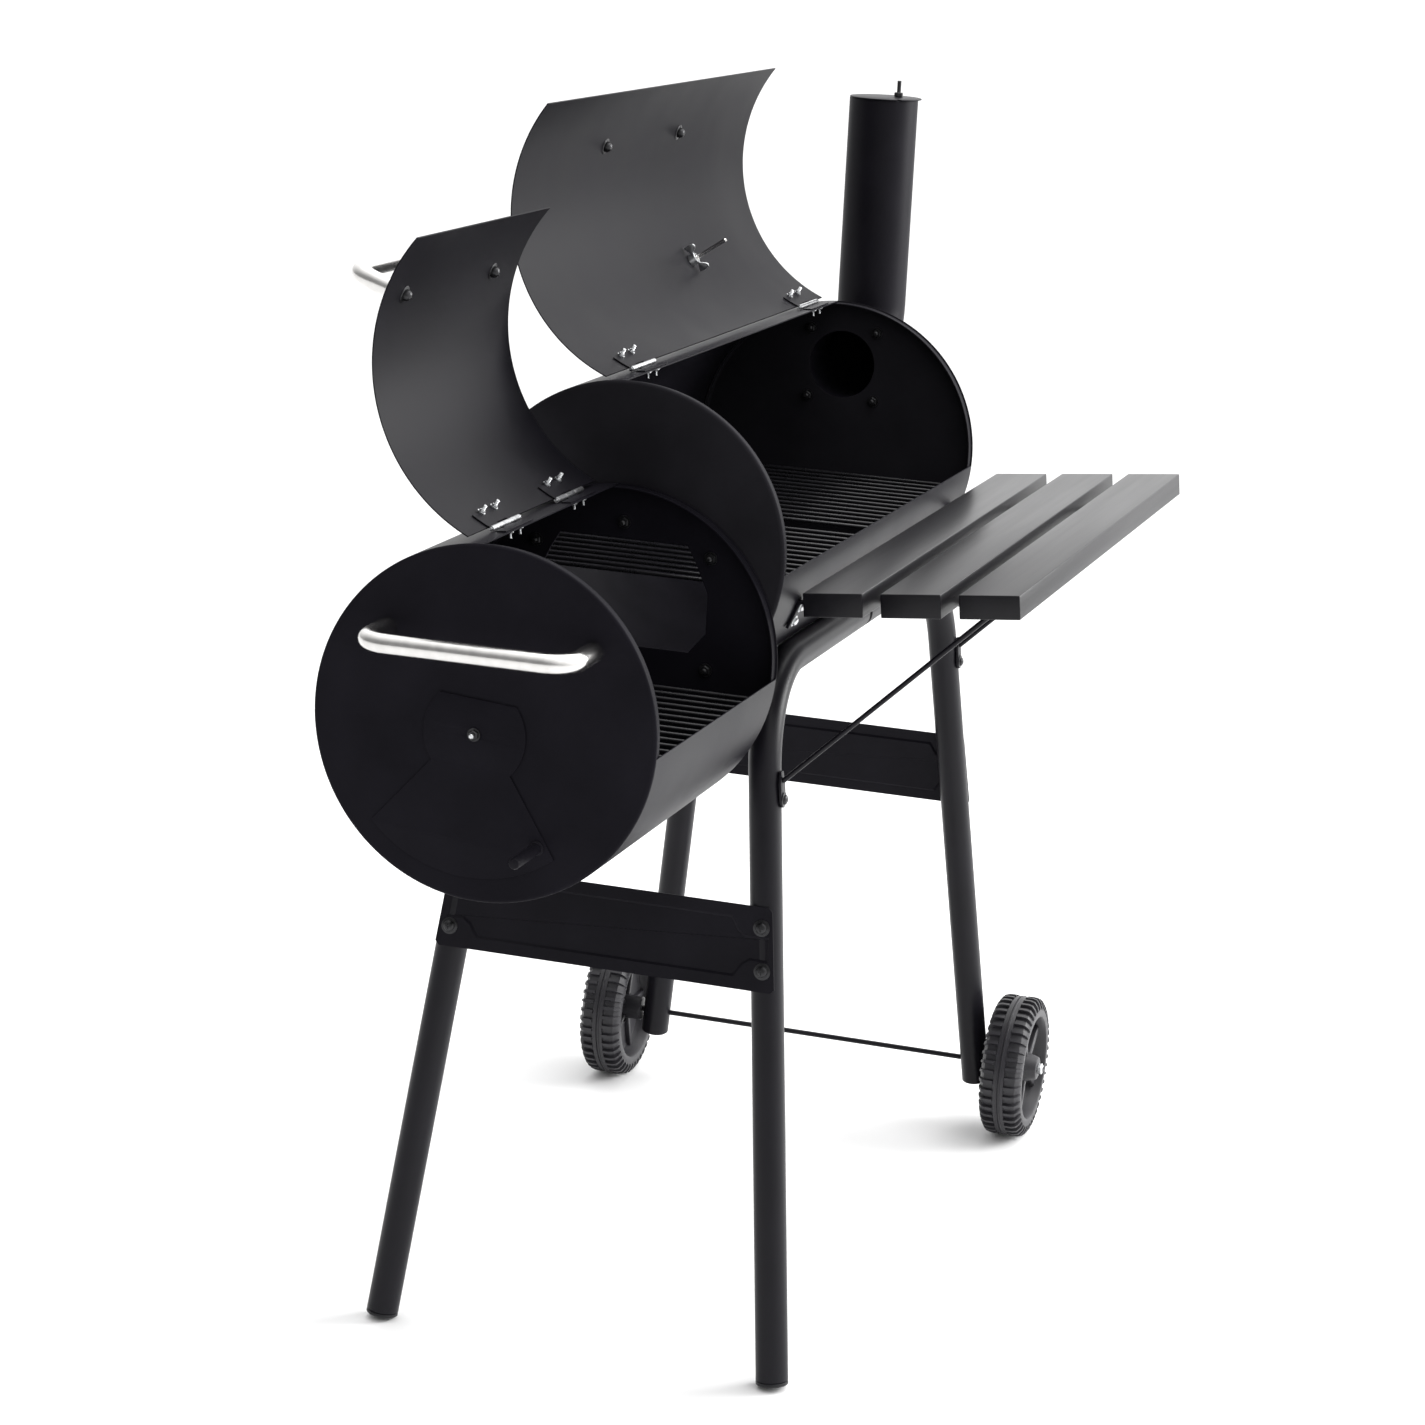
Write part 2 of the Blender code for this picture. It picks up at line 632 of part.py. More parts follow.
def build_frame():
    tilt = leg_direction()
    low_edge = LEG_TUBE * (1 - tilt.z * tilt.z) ** 0.5
    stem = (LEG_TUBE - TUBE_WALL) * cos(pi / TUBE_SIDES) - GAP
    plug = [(0.0, PLUG_DEPTH), (stem, PLUG_DEPTH), (stem, PLUG_FLANGE), (LEG_TUBE, PLUG_FLANGE),
            (LEG_TUBE, 0.0), (0.0, 0.0)]
    for far, far_name in ((False, "left"), (True, "right")):
        for side, side_name in ((-1, "front"), (1, "back")):
            foot = leg_point(FAR_FOOT_Z if far else FOOT[2] + low_edge, far, side)
            corner = place_of_leg(Vector((LEG_CORNER, RAIL_Y, RAIL_Z)), far, side)
            sleeve = place_of_leg(Vector((LEG_SLEEVE_END, RAIL_Y, RAIL_Z)), far, side)
            climb = (leg_point(0.0, far, side) - leg_point(-1.0, far, side)).normalized()
            end = foot if far else foot + climb * (PLUG_FLANGE + GAP)
            leg = tube(f"leg_{far_name}_{side_name}", rounded([sleeve, corner, end], LEG_BEND), LEG_TUBE,
                       "black_steel_tube", TUBE_WALL)
            if far:
                hole = leg_point(AXLE_Z, far, side)
                hole.x = JOINT_X + AXLE_X
                drill(leg, hole, (0, 1, 0), AXLE_RADIUS + RUNNING_GAP, CUT_DEPTH * 3)
            else:
                turned(f"foot_plug_{side_name}", plug, "black_plastic", aim(foot, climb), steps=12)
    for side, side_name in ((-1, "front"), (1, "back")):
        ends = [place_of_leg(Vector((RAIL_END, RAIL_Y, RAIL_Z)), far, side) for far in (False, True)]
        tube(f"rail_{side_name}", ends, RAIL_TUBE, "black_steel_tube", TUBE_WALL)


def build_panels():
    """The end panels stand on the legs' outer sides, in the plane of the legs."""
    for far, name in ((False, "left"), (True, "right")):
        high, low = leg_point(0.0, far, 1), leg_point(-1.0, far, 1)
        up = Vector((high.x - low.x, 0, high.z - low.z)).normalized()
        out = Vector((-up.z, 0, up.x)) if not far else Vector((up.z, 0, -up.x))
        centre = leg_point(PANEL_Z[far], far, 1) + out * (LEG_TUBE + GAP + PANEL_SHEET / 2)
        centre.y = AXIS_Y
        turn = Matrix((up.cross(out), up, out)).transposed().to_4x4()
        low_side, high_side = PANEL_HEIGHT / -2, PANEL_HEIGHT / 2
        outline = [(-PANEL_BOTTOM_HALF, low_side), (PANEL_BOTTOM_HALF, low_side), (PANEL_TOP_HALF, high_side),
                   (-PANEL_TOP_HALF, high_side)]
        plate(f"end_panel_{name}", [outline], PANEL_SHEET, "black_enamel", Matrix.Translation(centre) @ turn)


def build_wheels():
    tread, hub_out, hub_in = 0.0256, 0.0288, -0.0305
    bore = AXLE_RADIUS + RUNNING_GAP
    profile = [(bore, hub_out), (0.012, hub_out), (0.0145, 0.009), (0.058, 0.006), (0.060, 0.022),
               (0.078, tread), (WHEEL_RADIUS, 0.021), (WHEEL_RADIUS, -0.021), (0.078, -tread), (0.060, -0.022),
               (0.058, -0.004), (0.0155, -0.006), (0.0145, hub_in), (bore, hub_in)]
    nut_bore = AXLE_RADIUS + GAP
    nut = [(0.0045, 0.005), (0.006, 0.003), (0.006, 0.0), (nut_bore, 0.0), (nut_bore, 0.005)]
    for side, name in ((-1, "front"), (1, "back")):
        centre = spot(AXLE_X, side * WHEEL_Y, AXLE_Z)
        turned(f"wheel_{name}", profile, "black_plastic", aim(centre, (0, side, 0)), steps=24, ring=True)
        seat = spot(AXLE_X, side * (WHEEL_Y + hub_out + 2 * GAP), AXLE_Z)
        turned(f"axle_nut_{name}", nut, "galvanised", aim(seat, (0, side, 0)), steps=12, ring=True)
    turned("axle", [(0.0, AXLE_HALF), (AXLE_RADIUS, AXLE_HALF), (AXLE_RADIUS, -AXLE_HALF), (0.0, -AXLE_HALF)],
           "black_steel_tube", aim(spot(AXLE_X, 0, AXLE_Z), (0, 1, 0)), steps=12)


# Shelf

def shelf_normal():
    return Vector((0, SHELF_SLOPE, 1)).normalized()


def under_shelf(y, depth=0.0):
    """A point depth below the slats' undersides, at y on their upper plane."""
    top = Vector((0, y, SHELF_EDGE_Z + SHELF_SLOPE * (SHELF_EDGE_Y - y)))
    return top - shelf_normal() * (SLAT_THICKNESS + depth)


def build_shelf():
    length = SLAT_X[1] - SLAT_X[0]
    tilt = Matrix.Rotation(-atan(SHELF_SLOPE), 4, "X")
    for name, y in zip(("shelf_slat_inner", "shelf_slat_middle", "shelf_slat_front"), SLAT_Y):
        middle = spot(sum(SLAT_X) / 2, 0, 0) + under_shelf(y, -SLAT_THICKNESS / 2)
        block(name, (length, SLAT_WIDTH, SLAT_THICKNESS), "black_wood", Matrix.Translation(middle) @ tilt, 0.0015)

    low = BAR_SHEET / 2 + GAP
    tab = outward(TAB_ANGLE) * (RADIUS + GAP + BAR_SHEET / 2)
    along = Vector((0, sin(radians(TAB_ANGLE)), cos(radians(TAB_ANGLE))))
    front, back = under_shelf(BAR_FRONT_Y, low), under_shelf(SHELF_EDGE_Y, low)
    slope, rise = back - front, front - tab
    corner = tab + along * (rise.y * slope.z - rise.z * slope.y) / (along.y * slope.z - along.z * slope.y)
    line = [(point.y, point.z) for point in (front, corner, tab - along * TAB_HALF)]
    for name, x in zip(("shelf_bar_left", "shelf_bar_right"), BAR_X):
        plate(name, [strip(line, BAR_SHEET)], BAR_WIDTH, "black_enamel", side_view(x))

    for name, far in (("shelf_stay_left", False), ("shelf_stay_right", True)):
        build_stay(name, far, tilt)


def build_stay(name, far, tilt):
    """A round rod with a flattened end on the leg and another under the front slat."""
    foot = leg_point(STAY_FOOT_Z, far, -1) - Vector((0, LEG_TUBE + GAP + STAY_FLAT / 2, 0))
    head = spot(foot.x - JOINT_X, 0, 0) + under_shelf(STAY_TOP_Y, GAP + STAY_FLAT / 2)
    climb = leg_point(0.0, far, -1) - leg_point(-1.0, far, -1)
    lean = Matrix.Rotation(-atan(climb.y / climb.z), 4, "X")
    low_end = foot + lean @ Vector((0, -0.001, 0.021))
    high_end = head + Vector((0, 0.016, -0.0025))
    stay = tube(name, [low_end, high_end], STAY_RADIUS, "black_steel_tube", sides=8)
    foot_tab = block("tab", (STAY_TAB, STAY_FLAT, STAY_TAB_LENGTH), "black_steel_tube",
                     Matrix.Translation(foot + lean @ Vector((0, 0, 0.010))) @ lean)
    head_tab = block("tab", (STAY_TAB, STAY_TAB_LENGTH, STAY_FLAT), "black_steel_tube",
                     Matrix.Translation(head + Vector((0, 0.008, -0.0008))) @ tilt)
    for tab in (foot_tab, head_tab):
        hide_cutter(tab)
        stay = combine(stay, tab, "UNION")


# Chimney

def build_chimney():
    start = spot(MAIN_LENGTH + 2 * GAP, CHIMNEY_Y, CHIMNEY_HOLE_Z)
    corner = spot(CHIMNEY_X, CHIMNEY_Y, CHIMNEY_HOLE_Z)
    top = spot(CHIMNEY_X, CHIMNEY_Y, CHIMNEY_TOP)
    tube("chimney_pipe", rounded([start, corner, top], CHIMNEY_BEND), CHIMNEY_RADIUS, "black_enamel", SHEET,
         CHIMNEY_SIDES)
    square = [(-FLANGE_HALF, -FLANGE_HALF), (FLANGE_HALF, -FLANGE_HALF), (FLANGE_HALF, FLANGE_HALF),
              (-FLANGE_HALF, FLANGE_HALF)]
    bore = circle(0, 0, (CHIMNEY_RADIUS + GAP) / cos(pi / CHIMNEY_SIDES), CHIMNEY_SIDES)
    place = side_view(MAIN_LENGTH + GAP + FLANGE_SHEET / 2) @ Matrix.Translation((CHIMNEY_Y, CHIMNEY_HOLE_Z, 0))
    plate("chimney_flange", [square, bore], FLANGE_SHEET, "black_enamel", place)

    strap_z = CHIMNEY_TOP - 0.014
    inner = (CHIMNEY_RADIUS - SHEET) * cos(pi / CHIMNEY_SIDES) - GAP
    half = (inner ** 2 - (abs(STUD[1]) + STRAP_WIDTH / 2) ** 2) ** 0.5
    strap = block("chimney_cap_bracket", (2 * half, STRAP_WIDTH, 0.0015), "galvanised",
                  Matrix.Translation(spot(CHIMNEY_X, CHIMNEY_Y + STUD[1], strap_z)))
    stud_spot = spot(CHIMNEY_X + STUD[0], CHIMNEY_Y + STUD[1], strap_z)
    stud_top = CHIMNEY_TOP + STUD_HEIGHT - strap_z
    stud = turned("stud", [(0.0, stud_top), (STUD_RADIUS, stud_top - 0.001), (STUD_RADIUS, -0.003), (0.0, -0.003)],
                  "galvanised", aim(stud_spot, (0, 0, 1)), steps=12)
    hide_cutter(stud)
    combine(strap, stud, "UNION")
    cap_centre = Vector((CHIMNEY_X, CHIMNEY_Y - CAP_SHIFT))
    stud_place = Vector((CHIMNEY_X + STUD[0], CHIMNEY_Y + STUD[1]))
    hole = circle(*(stud_place - cap_centre), STUD_RADIUS + RUNNING_GAP, 12)
    cap_z = CHIMNEY_TOP + GAP + SHEET / 2
    plate("chimney_cap", [circle(0, 0, CAP_RADIUS, 36), hole], SHEET, "black_enamel",
          Matrix.Translation(spot(cap_centre.x, cap_centre.y, cap_z)))
    bore, nut = STUD_RADIUS + GAP, 0.0045
    turned("chimney_cap_nut", [(nut, 0.005), (nut, 0.0), (bore, 0.0), (bore, 0.005)], "galvanised",
           aim(spot(stud_place.x, stud_place.y, cap_z + SHEET / 2 + GAP), (0, 0, 1)), steps=12, ring=True)


# Grates

def build_grate(name, span, half, top, bars):
    """A stamped grate: a rim and bars across it."""
    pitch = (span[1] - span[0] - 2 * GRATE_RIM + BAR_WIDE) / bars
    outline = [(span[0], -half), (span[1], -half), (span[1], half), (span[0], half)]
    slots = []
    for number in range(bars):
        left = span[0] + GRATE_RIM + number * pitch
        right = left + pitch - BAR_WIDE
        slots.append([(left, -half + GRATE_RIM), (right, -half + GRATE_RIM), (right, half - GRATE_RIM),
                      (left, half - GRATE_RIM)])
    place = Matrix.Translation(spot(0, 0, top - GRATE_THICKNESS / 2))
    plate(name, [outline] + slots, GRATE_THICKNESS, "grate_steel", place)


clear_scene()
PARTS = new_collection("barrel_charcoal_grill")
CUTTERS = new_collection("cutters")
MAIN_HINGE = hinge_empty("main_lid_hinge", 0.0, MAIN_LID_OPEN)
FIRE_HINGE = hinge_empty("firebox_lid_hinge", FIRE_DROP, FIRE_LID_OPEN)
build_barrels()
build_hinges((MAIN_HINGE, FIRE_HINGE))
main_lid, main_handle = build_lid("main", MAIN_LID_SPAN, MAIN_HANDLE_FEET, 0.0, MAIN_HINGE)
stem_hole = on_barrel(GAUGE_ANGLE, LID_RADIUS, GAUGE_X)
main_lid = drill(main_lid, stem_hole, outward(GAUGE_ANGLE), STEM_RADIUS + RUNNING_GAP, CUT_DEPTH)
hang([main_lid, main_handle], MAIN_HINGE)
hang(build_lid("firebox", FIRE_LID_SPAN, FIRE_HANDLE_FEET, FIRE_DROP, FIRE_HINGE), FIRE_HINGE)
build_thermometer(MAIN_HINGE)
build_end_fittings()
build_frame()
build_panels()
build_wheels()
build_shelf()
build_chimney()
for grate, grate_span in zip(("cooking_grate_left", "cooking_grate_right"), MAIN_GRATES):
    build_grate(grate, grate_span, MAIN_GRATE_HALF, MAIN_GRATE_TOP, MAIN_GRATE_BARS)
build_grate("firebox_grate", FIRE_GRATE, FIRE_GRATE_HALF, FIRE_GRATE_TOP - FIRE_DROP, FIRE_GRATE_BARS)
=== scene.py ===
"""Looks of the barrel charcoal grill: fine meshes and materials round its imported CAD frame.

Metres, in the frame's own axes: X runs along the barrels towards the chimney, -Y is the shelf side. Places
are read from the CAD pieces' boxes, then given from the centre of the main barrel's fire box end.
"""
from math import acos, atan2, cos, pi, radians, sin, tan

import bmesh
import bpy
from mathutils import Matrix, Vector


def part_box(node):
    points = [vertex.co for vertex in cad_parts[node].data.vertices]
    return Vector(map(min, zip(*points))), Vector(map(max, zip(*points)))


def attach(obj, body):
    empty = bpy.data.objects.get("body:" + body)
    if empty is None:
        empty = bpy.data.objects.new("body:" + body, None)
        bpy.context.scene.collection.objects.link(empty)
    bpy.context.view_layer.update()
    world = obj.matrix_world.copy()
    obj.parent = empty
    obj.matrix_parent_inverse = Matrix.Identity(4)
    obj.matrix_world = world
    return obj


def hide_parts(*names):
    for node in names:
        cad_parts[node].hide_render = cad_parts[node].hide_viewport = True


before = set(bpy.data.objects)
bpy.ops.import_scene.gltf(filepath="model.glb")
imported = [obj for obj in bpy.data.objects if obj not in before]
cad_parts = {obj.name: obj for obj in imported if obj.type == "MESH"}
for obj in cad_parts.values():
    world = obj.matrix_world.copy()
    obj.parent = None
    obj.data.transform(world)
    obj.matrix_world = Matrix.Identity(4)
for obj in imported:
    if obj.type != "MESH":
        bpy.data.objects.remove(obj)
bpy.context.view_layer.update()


# Places, read from the frame

def low(node):
    return Vector(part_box(node)[0])


def high(node):
    return Vector(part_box(node)[1])


def middle(node):
    return (low(node) + high(node)) / 2


RADIUS = (high("main_end_cap_firebox_side").z - low("main_end_cap_firebox_side").z) / 2
AXIS = middle("main_end_cap_firebox_side")
AXIS.x = low("main_end_cap_firebox_side").x
DROP = AXIS.z - middle("firebox_end_cap_outer").z
MAIN_LENGTH = high("main_end_cap_chimney_side").x - AXIS.x
FIRE_LENGTH = AXIS.x - low("firebox_end_cap_outer").x
SHEET = 0.0012
GAP = 0.0003
UP = Vector((0, 0, 1))
RIGHT = Vector((1, 0, 0))
BACK = Vector((0, 1, 0))

# The barrels' openings and lids: theta climbs from the front (0) over the top (90)
LIP_ANGLE = -4.0
STRIP_ANGLE = 92.5
LID_RADIUS = 0.1648
LID_ARC = (-7.8, 96.8)
MAIN_LID_OPEN = 151.0
FIRE_LID_OPEN = 148.0
HINGE_ANGLE = 98.0
HINGE_RADIUS = 0.163
HANDLE_ANGLE = 14.5
HANDLE_TUBE = 0.009
TAB_ANGLE = -22.5


def spot(x, y, z):
    """A point given from the centre of the main barrel's fire box end."""
    return AXIS + Vector((x, y, z))


def outward(theta):
    return Vector((0.0, -cos(radians(theta)), sin(radians(theta))))


def on_barrel(theta, radius, x, drop=0.0):
    return spot(x, 0, -drop) + outward(theta) * radius


def aim(point, axis, up=UP):
    """The place of a shape whose own Z runs along axis and whose own X leans towards up."""
    z = Vector(axis).normalized()
    x = Vector(up) - z * z.dot(Vector(up))
    if x.length < 0.1:
        x = RIGHT - z * z.x
    x.normalize()
    return Matrix.Translation(point) @ Matrix((x, z.cross(x), z)).transposed().to_4x4()


def opened(drop):
    """Swings what is modelled on a shut lid to where it stands open at rest."""
    axis = on_barrel(HINGE_ANGLE, HINGE_RADIUS, 0.0, drop)
    swing = Matrix.Rotation(-radians(FIRE_LID_OPEN if drop else MAIN_LID_OPEN), 4, "X")
    return Matrix.Translation(axis) @ swing @ Matrix.Translation(-axis)


# Materials

def material(name, colour, roughness, metallic=0.0, **looks):
    """A Principled material whose colour, roughness and surface vary by noise in metres."""
    made = bpy.data.materials.new(name)
    made.use_nodes = True
    nodes, links = made.node_tree.nodes, made.node_tree.links
    shader = nodes["Principled BSDF"]
    shader.inputs["Metallic"].default_value = metallic
    shader.inputs["Specular IOR Level"].default_value = looks.get("specular", 0.5)
    shader.inputs["Coat Weight"].default_value = looks.get("coat", 0.0)
    shader.inputs["Coat Roughness"].default_value = looks.get("coat_roughness", 0.2)
    place = nodes.new("ShaderNodeTexCoord")
    stretch = nodes.new("ShaderNodeMapping")
    stretch.inputs["Scale"].default_value = looks.get("stretch", (1, 1, 1))
    links.new(place.outputs["Object"], stretch.inputs["Vector"])

    broad = nodes.new("ShaderNodeTexNoise")
    broad.inputs["Scale"].default_value = looks.get("patch", 14.0)
    broad.inputs["Detail"].default_value = 5.0
    links.new(stretch.outputs["Vector"], broad.inputs["Vector"])
    tint = nodes.new("ShaderNodeValToRGB")
    spread = looks.get("spread", 0.18)
    tint.color_ramp.elements[0].position = 0.3
    tint.color_ramp.elements[0].color = (*[c * (1 - spread) for c in colour], 1)
    tint.color_ramp.elements[1].position = 0.7
    tint.color_ramp.elements[1].color = (*[min(1, c * (1 + spread)) for c in colour], 1)
    links.new(broad.outputs["Fac"], tint.inputs["Fac"])
    links.new(tint.outputs["Color"], shader.inputs["Base Color"])
    dull = nodes.new("ShaderNodeMapRange")
    dull.inputs["To Min"].default_value = roughness - looks.get("rough_spread", 0.06)
    dull.inputs["To Max"].default_value = roughness + looks.get("rough_spread", 0.06)
    links.new(broad.outputs["Fac"], dull.inputs["Value"])
    links.new(dull.outputs["Result"], shader.inputs["Roughness"])

    if looks.get("cells"):
        fine = nodes.new("ShaderNodeTexVoronoi")
        fine_out = fine.outputs["Distance"]
    else:
        fine = nodes.new("ShaderNodeTexNoise")
        fine.inputs["Detail"].default_value = 3.0
        fine_out = fine.outputs["Fac"]
    fine.inputs["Scale"].default_value = looks.get("grain", 900.0)
    links.new(stretch.outputs["Vector"], fine.inputs["Vector"])
    bump = nodes.new("ShaderNodeBump")
    bump.inputs["Strength"].default_value = looks.get("bump", 0.25)
    bump.inputs["Distance"].default_value = looks.get("relief", 0.0002)
    links.new(fine_out, bump.inputs["Height"])
    links.new(bump.outputs["Normal"], shader.inputs["Normal"])
    return made


# One black paint: the main caps' copy is painted lighter (painted light) and the lids' and tubes' copies darker
# (painted shade), so that each group of sheets gets the right tone under the lights below
COAT = {"grain": 1500, "bump": 0.22, "rough_spread": 0.05}
ENAMEL = material("black_powder_coat", (0.0085, 0.0079, 0.0108), 0.42, specular=0.07, **COAT)
CAP_ENAMEL = material("cap_powder_coat", (0.0085, 0.0079, 0.0108), 0.5, specular=0.03, **COAT)
MAIN_CAP_PAINTED_LIGHT = material("main_cap_coat_painted_lighter", (0.0150, 0.0144, 0.0172), 0.5, specular=0.03, **COAT)
# Lids: the same black paint made darker, painted shade
LID_PAINTED_SHADE = material("lid_coat_painted_darker", (0.0058, 0.0054, 0.0074), 0.45, grain=1500, bump=0.25, specular=0.075)
# Tubes: the same black paint made darker, painted shade
TUBE_PAINTED_SHADE = material("tube_coat_painted_darker", (0.0068, 0.0063, 0.0090), 0.38, grain=1800, bump=0.22, specular=0.2)
WOOD = material("black_painted_wood", (0.0045, 0.0042, 0.0060), 0.36, stretch=(0.05, 1, 1), patch=60.0, grain=420.0,
                bump=0.3, relief=0.0003, spread=0.22, specular=0.25)
PLASTIC = material("moulded_black_plastic", (0.010, 0.010, 0.012), 0.40, grain=1100, bump=0.18, specular=0.3)
RUBBERY = material("wheel_tread_plastic", (0.022, 0.0212, 0.0250), 0.44, grain=700, bump=0.3, specular=0.42)
GRATE = material("grate_enamel", (0.014, 0.0137, 0.016), 0.28, grain=600, bump=0.12, patch=60.0)
STAINLESS = material("brushed_stainless", (0.70, 0.69, 0.675), 0.22, 1.0, stretch=(0.08, 1, 1), patch=120.0,
                     grain=2600.0, bump=0.16, spread=0.06)
ZINC = material("zinc_plate", (0.60, 0.61, 0.62), 0.30, 1.0, cells=True, grain=500.0, patch=220.0, bump=0.12,
                spread=0.12)
BLACK_SCREW = material("black_oxide_steel", (0.030, 0.030, 0.032), 0.30, 0.7, patch=300.0, grain=1600, bump=0.15)
DIAL = material("dial_paper", (0.78, 0.77, 0.72), 0.5, grain=1200, bump=0.05, spread=0.03)
DIAL_BLACK = material("dial_print", (0.01, 0.01, 0.01), 0.5, grain=1200, bump=0.05)
NEEDLE = material("needle_paint", (0.45, 0.02, 0.015), 0.35, grain=1500, bump=0.05)


def glass_material():
    made = material("dial_glass", (0.9, 0.93, 0.93), 0.08, grain=20, bump=0.01, spread=0.02)
    shader = made.node_tree.nodes["Principled BSDF"]
    shader.inputs["Transmission Weight"].default_value = 1.0
    shader.inputs["IOR"].default_value = 1.45
    return made


GLASS = glass_material()


# Shapes

def face_of(bm, points):
    return bm.faces.new([bm.verts.new(p) for p in points])


def turned(profile, place, steps=64, ring=False):
    """A profile of (radius, height), turned about the place's Z."""
    bm = bmesh.new()
    verts = [bm.verts.new((r, 0, h)) for r, h in profile]
    edges = [bm.edges.new(pair) for pair in zip(verts, verts[1:])]
    if ring:
        edges.append(bm.edges.new((verts[-1], verts[0])))
    bmesh.ops.spin(bm, geom=verts + edges, axis=(0, 0, 1), cent=(0, 0, 0), angle=2 * pi, steps=steps,
                   use_merge=True, use_duplicate=False)
    return closed(bm, place)


def closed(bm, place=Matrix()):
    bmesh.ops.remove_doubles(bm, verts=bm.verts, dist=0.000005)
    bmesh.ops.recalc_face_normals(bm, faces=bm.faces)
    bm.transform(place)
    return bm


def rolled(outer, thickness, start, end, span, drop, step=2.0):
    """A sheet rolled about a barrel's axis from theta start down to theta end, with eased edges."""
    bm = bmesh.new()
    ease = thickness * 0.3
    inner = outer - thickness
    section = [(span[0], inner + ease), (span[0], outer - ease), (span[0] + ease, outer), (span[1] - ease, outer),
               (span[1], outer - ease), (span[1], inner + ease), (span[1] - ease, inner), (span[0] + ease, inner)]
    first = outward(start)
    face = face_of(bm, [(x, first.y * r, first.z * r) for x, r in section])
    bmesh.ops.spin(bm, geom=list(face.verts) + list(face.edges) + [face], axis=(1, 0, 0), cent=(0, 0, 0),
                   angle=radians(start - end), steps=max(1, round((start - end) / step)),
                   use_merge=False, use_duplicate=False)
    return closed(bm, Matrix.Translation(spot(0, 0, -drop)))


def rounded(points, bend, steps=10):
    """The corners of a path rounded to one bend radius."""
    points = [Vector(p) for p in points]
    path = [points[0]]
    for before, corner, after in zip(points, points[1:], points[2:]):
        back = (before - corner).normalized()
        ahead = (after - corner).normalized()
        turn = pi - back.angle(ahead)
        start = corner + back * bend * tan(turn / 2)
        centre = corner + (back + ahead).normalized() * bend / cos(turn / 2)
        spin = (-back).cross(ahead)
        path += [centre + Matrix.Rotation(turn * i / steps, 3, spin) @ (start - centre) for i in range(steps + 1)]
    path.append(points[-1])
    return path


def rings(path, stations, sides):
    """Rings round a path: stations are (index on the path, radius, shift along it)."""
    tangents = []
    for i, point in enumerate(path):
        before = (point - path[i - 1]).normalized() if i else Vector((0, 0, 0))
        after = (path[i + 1] - point).normalized() if i < len(path) - 1 else Vector((0, 0, 0))
        tangents.append((before + after).normalized())
    normal = tangents[0].orthogonal().normalized()
    frames = []
    for point, tangent in zip(path, tangents):
        normal = (normal - tangent * normal.dot(tangent)).normalized()
        frames.append((point, tangent, normal, tangent.cross(normal)))
    found = []
    for index, radius, shift in stations:
        point, tangent, across, side = frames[index]
        found.append([point + tangent * shift + (across * cos(2 * pi * k / sides) + side * sin(2 * pi * k / sides))
                      * radius for k in range(sides)])
    return found


def bridge(bm, loops, cyclic=False):
    made = [[bm.verts.new(p) for p in loop] for loop in loops]
    pairs = list(zip(made, made[1:]))
    if cyclic:
        pairs.append((made[-1], made[0]))
    for a, b in pairs:
        for k in range(len(a)):
            following = (k + 1) % len(a)
            bm.faces.new((a[k], a[following], b[following], b[k]))
    return made


def pipe(path, radius, wall=0.0, sides=32, ease=0.0004):
    """A round bar along a path, or a hollow tube where it has a wall, with eased ends."""
    path = [Vector(p) for p in path]
    last = len(path) - 1
    bm = bmesh.new()
    outer = [(0, radius - ease, 0.0), (0, radius, ease)] + [(i, radius, 0.0) for i in range(1, last)]
    outer += [(last, radius, -ease), (last, radius - ease, 0.0)]
    if wall:
        inner = [(i, radius - wall, 0.0) for i in range(last, -1, -1)]
        bridge(bm, rings(path, outer + inner, sides), cyclic=True)
    else:
        made = bridge(bm, rings(path, outer, sides))
        bm.faces.new(made[0])
        bm.faces.new(made[-1])
    return closed(bm)


def plate(loops, thickness, place, edge=0.0003):
    """A flat plate with softened edges: the first loop is its outline, the others its holes."""
    curve = bpy.data.curves.new("outline", "CURVE")
    curve.dimensions = "2D"
    curve.fill_mode = "BOTH"
    curve.extrude = thickness / 2 - edge
    curve.bevel_depth = edge
    curve.bevel_resolution = 1
    curve.offset = -edge
    for loop in loops:
        spline = curve.splines.new("POLY")
        spline.points.add(len(loop) - 1)
        for point, (x, y) in zip(spline.points, loop):
            point.co = (x, y, 0, 1)
        spline.use_cyclic_u = True
    holder = bpy.data.objects.new("outline", curve)
    bpy.context.scene.collection.objects.link(holder)
    bpy.context.view_layer.update()
    bm = bmesh.new()
    bm.from_mesh(bpy.data.meshes.new_from_object(holder.evaluated_get(bpy.context.evaluated_depsgraph_get())))
    bpy.data.objects.remove(holder, do_unlink=True)
    bpy.data.curves.remove(curve)
    return closed(bm, place)


def bar(size, place, edge=0.0005, segments=2):
    """A box with rounded edges."""
    bm = bmesh.new()
    bmesh.ops.create_cube(bm, size=1.0, matrix=Matrix.Diagonal((*size, 1.0)))
    bmesh.ops.bevel(bm, geom=bm.edges[:], offset=edge, segments=segments, affect="EDGES", profile=0.5)
    return closed(bm, place)


def circle(x, y, radius, count=16):
    return [(x + radius * cos(2 * pi * i / count), y + radius * sin(2 * pi * i / count)) for i in range(count)]


def side_view(x):
    """The place of a plate drawn in (y, z) and extruded along X."""
    return Matrix.Translation(spot(x, 0, 0)) @ Matrix(((0, 0, 1, 0), (1, 0, 0, 0), (0, 1, 0, 0), (0, 0, 0, 1)))


def join(shapes):
    """Several closed shapes in one mesh."""
    whole = bmesh.new()
    for shape in shapes:
        part = bpy.data.meshes.new("part")
        shape.to_mesh(part)
        shape.free()
        whole.from_mesh(part)
        bpy.data.meshes.remove(part)
    return whole


